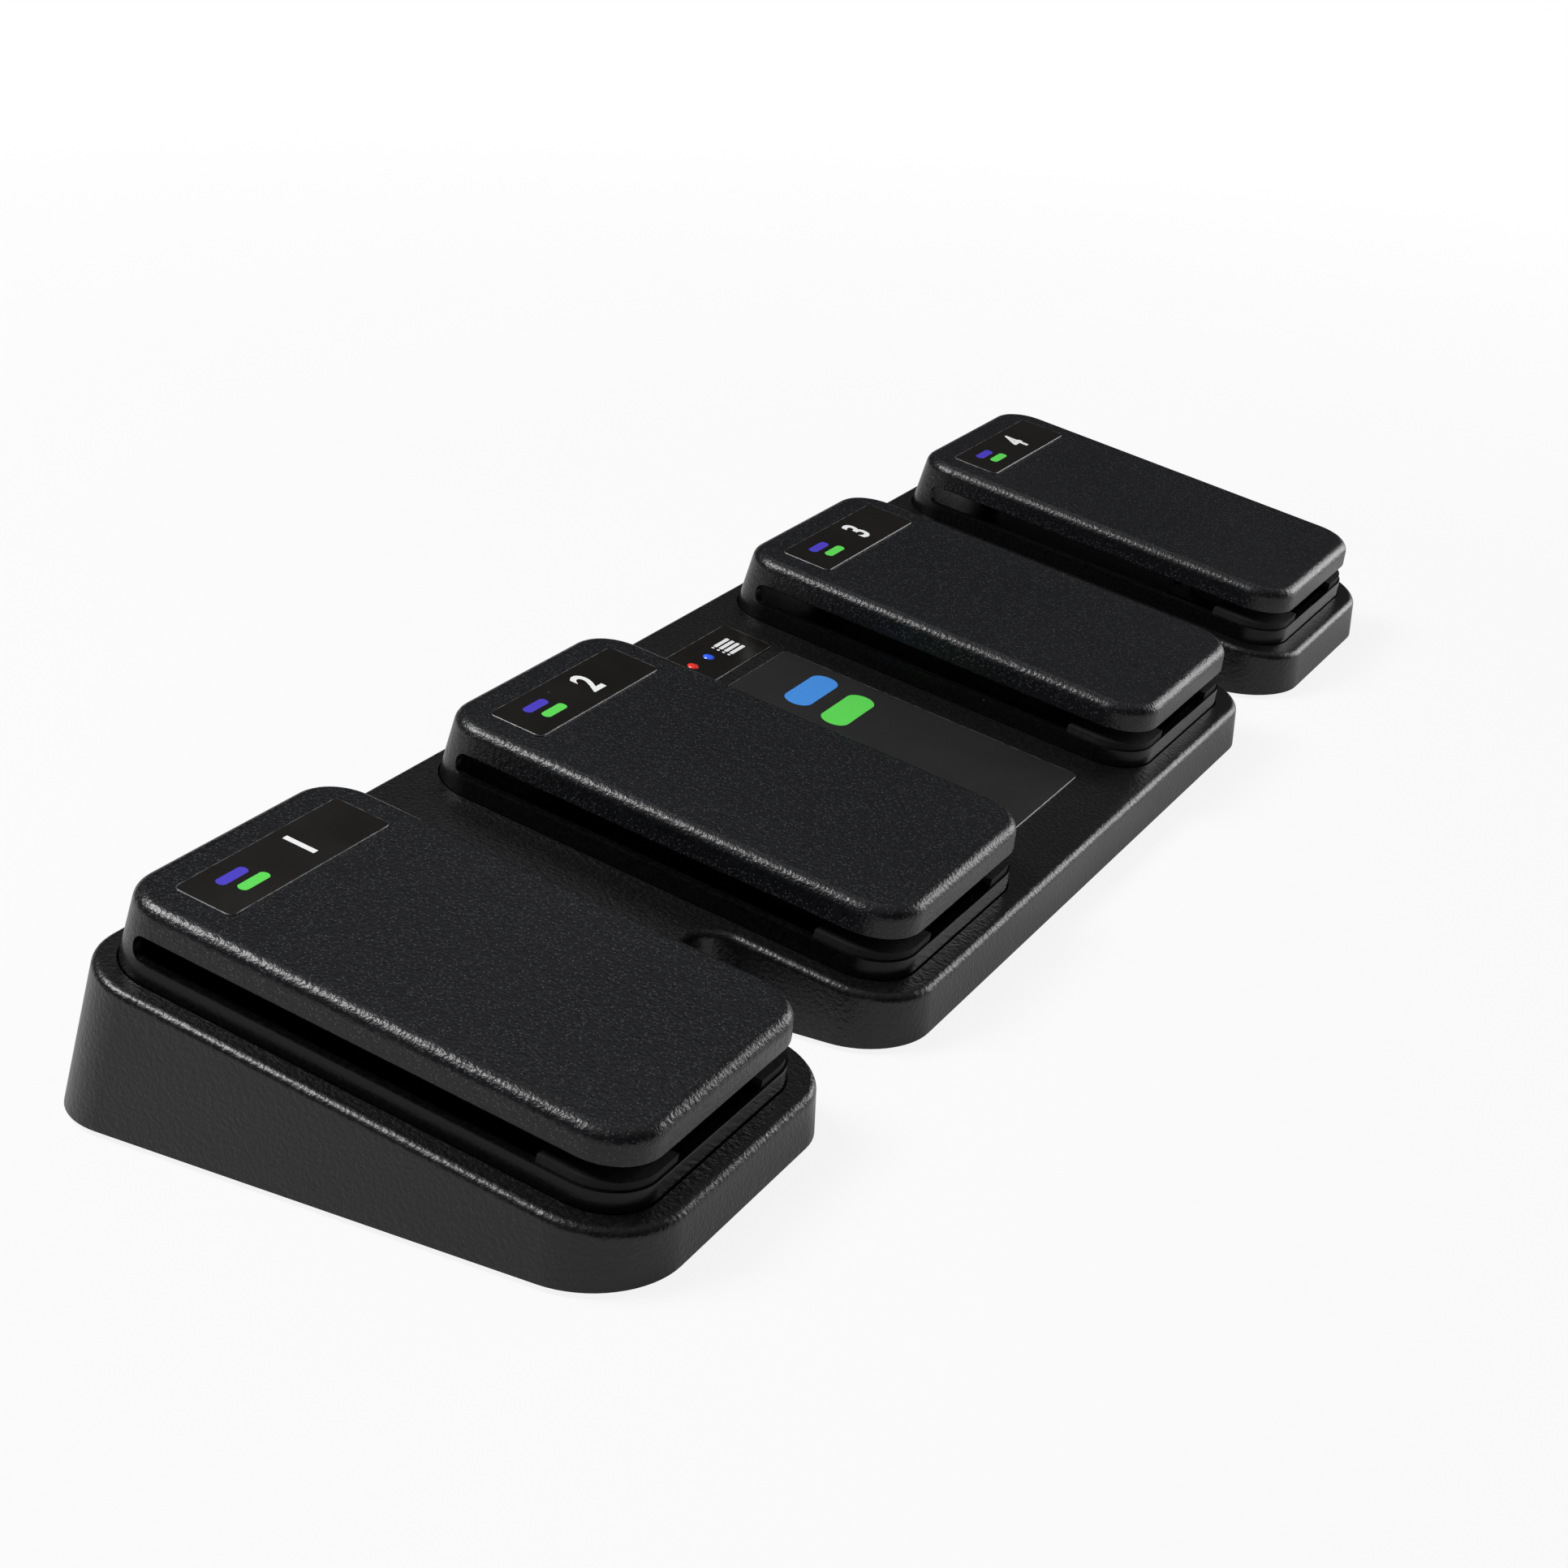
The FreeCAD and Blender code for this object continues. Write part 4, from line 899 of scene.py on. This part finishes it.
class FOOTSWITCH_OT_labels(bpy.types.Operator):
    """Build the labels on the pedals and between the inner pedals, with their print"""

    bl_idname = "foot_switch.labels"
    bl_label = "Labels"

    def execute(self, context):
        sizes = context.scene.label_sizes
        top = context.scene.pedal_sizes.height
        corners = rectangle(sizes.pedal_width, sizes.pedal_length, sizes.corner)
        for number, x in zip(PEDALS, PEDAL_XS):
            name = "pedal_%d" % number
            matrix = on_deck(x, deck_spot("pedal_1_label"), top)
            self.film(corners, None, matrix, name + "_number_plate", "label_gloss",
                      "gloss_label_film", name, name + "_label")
            self.number(sizes, number, name, matrix)
            self.printed(PEDAL_BARS, ["violet_ink", "green_ink"],
                         matrix @ Matrix.Translation((sizes.bars_x, 0, 0)),
                         name + "_printed_bars", "label_gloss", name)
        self.bay_films(sizes)
        self.printed(INDICATOR_MARKS, ["white_ink"], on_deck(0.0, deck_spot("indicator_label")),
                     "indicator_printed_marks", "label_gloss", CASING_BODY)
        self.printed(BAY_BARS, ["blue_ink", "green_ink"], on_deck(0.0, deck_spot("centre_label")),
                     "bay_printed_bars", "label_satin", CASING_BODY)
        return {"FINISHED"}

    def film(self, corners, windows, matrix, name, slot, finish, body, node):
        """Thin film with a clear border and cut edge, and windows where lights shine through."""
        thickness = bpy.context.scene.label_sizes.thickness
        bm = bmesh.new()
        top = lift(bm, rounded_plate(bm, corners), thickness)
        close(bm)
        rim = top.edges[:]
        lift(bm, top, 0.0, CLEAR_BORDER)
        round_edges(bm, rim, BROKEN_EDGE * thickness, 1)
        if windows:
            bm = combine(bm, windows)
        # Only the raised face inside the border is printed; the rest is clear film, drawn pale as
        # a painted highlight
        x, y = (max(corner[axis] for corner in corners) - 0.9 * CLEAR_BORDER for axis in (0, 1))
        for face in bm.faces:
            raised = face.normal.z > 0.9 and face.calc_center_median().z > 0.9 * thickness
            inside = all(abs(vert.co.x) < x and abs(vert.co.y) < y for vert in face.verts)
            face.material_index = 0 if raised and inside else 1
        show(place(bm, matrix), name, [finish, "cut_film_edge"], body, node)

    def number(self, sizes, number, name, matrix):
        """Printed pedal number."""
        text = bpy.data.curves.new("number", "FONT")
        text.body = str(number)
        text.size = sizes.number_height / DIGIT_SHARE
        text.align_x = "CENTER"
        text.align_y = "CENTER"
        text.extrude = sizes.ink
        text.offset = NUMBER_WEIGHT
        holder = bpy.data.objects.new("number", text)
        bpy.context.scene.collection.objects.link(holder)
        mesh = bpy.data.meshes.new_from_object(holder)
        bm = bmesh.new()
        bm.from_mesh(mesh)
        bpy.data.objects.remove(holder)
        bpy.data.curves.remove(text)
        bpy.data.meshes.remove(mesh)
        bmesh.ops.remove_doubles(bm, verts=bm.verts[:], dist=SAME_POINT)
        place(bm, matrix @ Matrix.Translation((sizes.number_x, 0, sizes.thickness)))
        show(bm, name + "_printed_number", ["white_ink"], name)

    def printed(self, marks, inks, matrix, name, slot, body):
        """Flat marks of ink on top of a film."""
        sizes = bpy.context.scene.label_sizes
        bm = bmesh.new()
        for ink, *mark in marks:
            before = len(bm.faces)
            x, y, width, height, radius = (value * MM for value in mark)
            prism(bm, rectangle(width, height, radius, middle=(x, y)), sizes.thickness,
                  sizes.thickness + sizes.ink)
            bm.faces.ensure_lookup_table()
            for face in bm.faces[before:]:
                face.material_index = ink
        show(place(bm, matrix), name, inks, body)

    def bay_films(self, sizes):
        """The two labels between the inner pedals."""
        for name, node, finish, slot in BAY_LABELS:
            low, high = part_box(node)
            middle = deck_spot(node)
            long = (high.y - low.y) / math.cos(bpy.context.scene.casing_sizes.tilt)
            windows = bmesh.new()
            for light in LIGHTS:
                x, along, radius = light_place(light)
                rod(windows, radius + LIGHT_GAP, -REACH, REACH,
                    Matrix.Translation((x, along - middle, 0)))
            self.film(rectangle(sizes.bay_width, long, sizes.corner), windows,
                      on_deck(0.0, middle), name, slot, finish, CASING_BODY, node)


# Feet: diameter, left edge of the inner ones, rounded edge, and rim and depth of the dish
FOOT_DIAMETER = 16.0 * MM
FOOT_INNER_X = -98.95 * MM
FOOT_ROUND = 0.4 * MM
FOOT_ROUND_STEPS = 4
DISH_RIM = 1.6 * MM
DISH_DEPTH = 0.25 * MM

# Nodes that are shown as they are but smoothed, with their body, slot and finish
SMOOTHED_NODES = (
    ("red_light_pipe", CASING_BODY, "light_red", "red_acrylic"),
    ("blue_light_pipe", CASING_BODY, "light_blue", "blue_acrylic"),
    ("charging_socket", CASING_BODY, "socket_steel", "stamped_stainless_steel"),
    ("power_switch_knob", "power_knob", "knob_black", "black_pom_knob"),
    ("mode_button", "button", "knob_black", "black_pom_knob"),
)

# Finish of each node that keeps its own mesh
NODE_FINISHES = {
    **{"pedal_%d_board" % number: "green_solder_mask" for number in PEDALS},
    "bottom_plate": "black_abs_plate", "case_screws": "blackened_steel",
    "main_board": "green_solder_mask", "radio_module": "tinned_steel_can",
    "battery": "foil_pouch", "battery_pad": "dark_grey_foam",
    "power_switch": "tinned_steel_can", "mode_button_switch": "black_nylon",
    "ribbon_wires": "grey_pvc_ribbon", "red_lamp": "white_lamp_resin",
    "blue_lamp": "white_lamp_resin",
}


class FOOTSWITCH_OT_small_parts(bpy.types.Operator):
    """Build the feet, light pipes and rear controls, and finish the nodes that stay"""

    bl_idname = "foot_switch.small_parts"
    bl_label = "Small parts"

    def execute(self, context):
        self.feet()
        for node, body, slot, finish in SMOOTHED_NODES:
            self.smoothed(node, body, slot, finish)
        for number, x in zip(PEDALS, PEDAL_XS):
            self.dome("pedal_%d" % number, x)
        for node, finish in NODE_FINISHES.items():
            mesh = frame["nodes"][node].data
            mesh.materials.clear()
            mesh.materials.append(material(finish))
        return {"FINISHED"}

    def smoothed(self, node, body, slot, finish):
        """Round part of a node, with its loose triangles merged and shaded smooth."""
        bm = bmesh.new()
        bm.from_mesh(frame["nodes"][node].data)
        bmesh.ops.remove_doubles(bm, verts=bm.verts[:], dist=SAME_CORNER)
        for face in bm.faces:
            face.material_index = 0
        return show(bm, node + "_smooth", [finish], body, node)

    def dome(self, name, x):
        """Silicone dome on its board, which the plunger flattens when the pedal is pressed; shown
        at rest.
        """
        piece = self.smoothed(name + "_dome", CASING_BODY, "dome_silicone", "dome_silicone")
        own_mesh(piece)

    def feet(self):
        """Eight rubber feet with a softened edge and a shallow dish."""
        low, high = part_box("rubber_feet")
        bm = bmesh.new()
        radius = FOOT_DIAMETER / 2
        for x in (low.x, FOOT_INNER_X, -FOOT_INNER_X - FOOT_DIAMETER, high.x - FOOT_DIAMETER):
            for y in (low.y, high.y - FOOT_DIAMETER):
                foot = bmesh.new()
                ring = bmesh.ops.create_circle(foot, cap_ends=True, radius=radius,
                                               segments=ROUND_STEPS)["verts"]
                lift(foot, ring[0].link_faces[0], high.z - low.z)
                bottom = close(foot)[0]
                round_edges(foot, bottom.edges, FOOT_ROUND, FOOT_ROUND_STEPS)
                bottom = lowest_and_highest(foot)[0]
                lift(foot, bottom, 0.0, DISH_RIM)
                lift(foot, bottom, -DISH_DEPTH, DISH_DEPTH)
                place(foot, Matrix.Translation((x + radius, y + radius, low.z)))
                add_mesh(bm, foot)
        show(bm, "moulded_feet", ["foot_rubber"], CASING_BODY, "rubber_feet")


# Camera of the photograph: place, turn (yaw, pitch and roll), focal length and optical centre
PHOTO_PIXELS = 1932
CAMERA_PLACE = Vector((-0.56462, -0.25895, 0.26767))
CAMERA_ANGLES = (63.937, 22.740, 3.438)
CAMERA_FOCAL_PIXELS = 3497.9
CAMERA_CENTRE_PIXELS = (963.6, 964.5)
SENSOR_WIDTH = 36.0

# The floor shows white far from the object, and keeps part of the object's shadow near it.
# The object mirrors somewhat less of that white.
FLOOR_HALF = 12.0
WHITE = (1.0, 1.0, 1.0, 1.0)
WHITE_FROM_TO = (0.3, 0.9)
WHITE_NEAR = 0.88
WHITE_MIRRORED = 0.45

# Brightness of the room by the height that one looks at, from the horizon to straight up, and
# how much bluer it is in between
SKY = ((0.0, 0.5), (0.06, 0.04), (0.66, 0.04), (0.80, 0.3), (1.0, 0.3))
SKY_BLUE = 1.03

# Name, place, what it points at, size and power
SOFT_LIGHTS = (
    ("key_softbox", (-0.55, 0.75, 1.4), (0.0, 0.0, 0.0), 0.7, 37.0),
    ("side_glow", (1.0, 0.3, 1.5), (0.0, 0.0, 0.0), 0.8, 0.9),
    ("front_panel", (1.34, -0.66, 0.35), (0.0, 0.0, 0.02), 0.7, 9.0),
)


class FOOTSWITCH_OT_stage(bpy.types.Operator):
    """Build the pale floor, the soft lights and the camera"""

    bl_idname = "foot_switch.stage"
    bl_label = "Stage"

    def execute(self, context):
        bm = bmesh.new()
        bmesh.ops.create_grid(bm, x_segments=1, y_segments=1, size=FLOOR_HALF)
        ground = loose_object("floor", bm)
        ground.data.materials.append(material("pale_floor"))
        self.sky(context)
        for name, spot, target, size, power in SOFT_LIGHTS:
            self.soft_light(name, Vector(spot), Vector(target), size, power)
        self.camera(context)
        context.scene.view_settings.view_transform = "Standard"
        return {"FINISHED"}

    def sky(self, context):
        """Dark room with a pale strip at the horizon and a brighter ceiling, seen as white."""
        world = bpy.data.worlds.new("studio")
        world.use_nodes = True
        tree = world.node_tree
        tree.nodes.clear()
        up = add_node(tree, "SeparateXYZ", (add_node(tree, "TexCoord", {}, "Generated"),), 2)
        room = add_node(tree, "ValToRGB", (up,))
        stops = room.node.color_ramp.elements
        for stop, (position, level) in zip(stops, (SKY[0], SKY[-1])):
            stop.position = position
            stop.color = (level, level, level, 1)
        for position, level in SKY[1:-1]:
            stops.new(position).color = (level, level, level * SKY_BLUE, 1)
        seen = add_node(tree, "LightPath", {}, "Is Camera Ray")
        level = add_node(tree, "Mix", {0: seen, 6: room, 7: WHITE}, 2, data_type="RGBA")
        back = add_node(tree, "Background", {"Color": level, "Strength": 1.0})
        add_node(tree, "OutputWorld", {"Surface": back})
        context.scene.world = world

    def soft_light(self, name, spot, target, size, power):
        lamp = bpy.data.lights.new(name, "AREA")
        lamp.shape = "SQUARE"
        lamp.size = size
        lamp.energy = power
        thing = bpy.data.objects.new(name, lamp)
        thing.location = spot
        thing.rotation_euler = (target - spot).to_track_quat("-Z", "Y").to_euler()
        thing.visible_camera = False
        bpy.context.scene.collection.objects.link(thing)

    def camera(self, context):
        """Camera at the photograph's place, turn and focal length."""
        yaw, pitch, roll = (math.radians(value) for value in CAMERA_ANGLES)
        back = Vector((-math.sin(yaw) * math.cos(pitch), -math.cos(yaw) * math.cos(pitch),
                       math.sin(pitch)))
        level = (-back).cross(Vector((0, 0, 1))).normalized()
        upright = level.cross(-back)
        right = level * math.cos(roll) + upright * math.sin(roll)
        up = upright * math.cos(roll) - level * math.sin(roll)
        turn = Matrix((right, up, back)).transposed().to_4x4()
        lens = bpy.data.cameras.new("camera")
        lens.sensor_width = SENSOR_WIDTH
        lens.lens = SENSOR_WIDTH * CAMERA_FOCAL_PIXELS / PHOTO_PIXELS
        lens.shift_x = (PHOTO_PIXELS / 2 - CAMERA_CENTRE_PIXELS[0]) / PHOTO_PIXELS
        lens.shift_y = (CAMERA_CENTRE_PIXELS[1] - PHOTO_PIXELS / 2) / PHOTO_PIXELS
        lens.clip_start = 0.01
        lens.clip_end = 100.0
        thing = bpy.data.objects.new("camera", lens)
        thing.matrix_world = Matrix.Translation(CAMERA_PLACE) @ turn
        context.scene.collection.objects.link(thing)
        context.scene.camera = thing


class FOOTSWITCH_PT_pieces(bpy.types.Panel):
    """Lists the steps that build the foot switch"""

    bl_idname = "FOOTSWITCH_PT_pieces"
    bl_label = "Foot switch"
    bl_space_type = "VIEW_3D"
    bl_region_type = "UI"
    bl_category = "Foot switch"

    def draw(self, context):
        for operator in STEPS:
            self.layout.operator(operator.bl_idname)


STEPS = (FOOTSWITCH_OT_casing, FOOTSWITCH_OT_pedals, FOOTSWITCH_OT_labels,
         FOOTSWITCH_OT_small_parts, FOOTSWITCH_OT_stage)


def register():
    for group in (*GROUPS.values(), *STEPS, FOOTSWITCH_PT_pieces):
        bpy.utils.register_class(group)
    for name, group in GROUPS.items():
        setattr(bpy.types.Scene, name, PointerProperty(type=group))


def unregister():
    for name in GROUPS:
        delattr(bpy.types.Scene, name)
    for group in (FOOTSWITCH_PT_pieces, *STEPS, *GROUPS.values()):
        bpy.utils.unregister_class(group)


def main():
    register()
    bpy.ops.foot_switch.casing()
    bpy.ops.foot_switch.pedals()
    bpy.ops.foot_switch.labels()
    bpy.ops.foot_switch.small_parts()
    bpy.ops.foot_switch.stage()


if __name__ == "__main__":
    main()
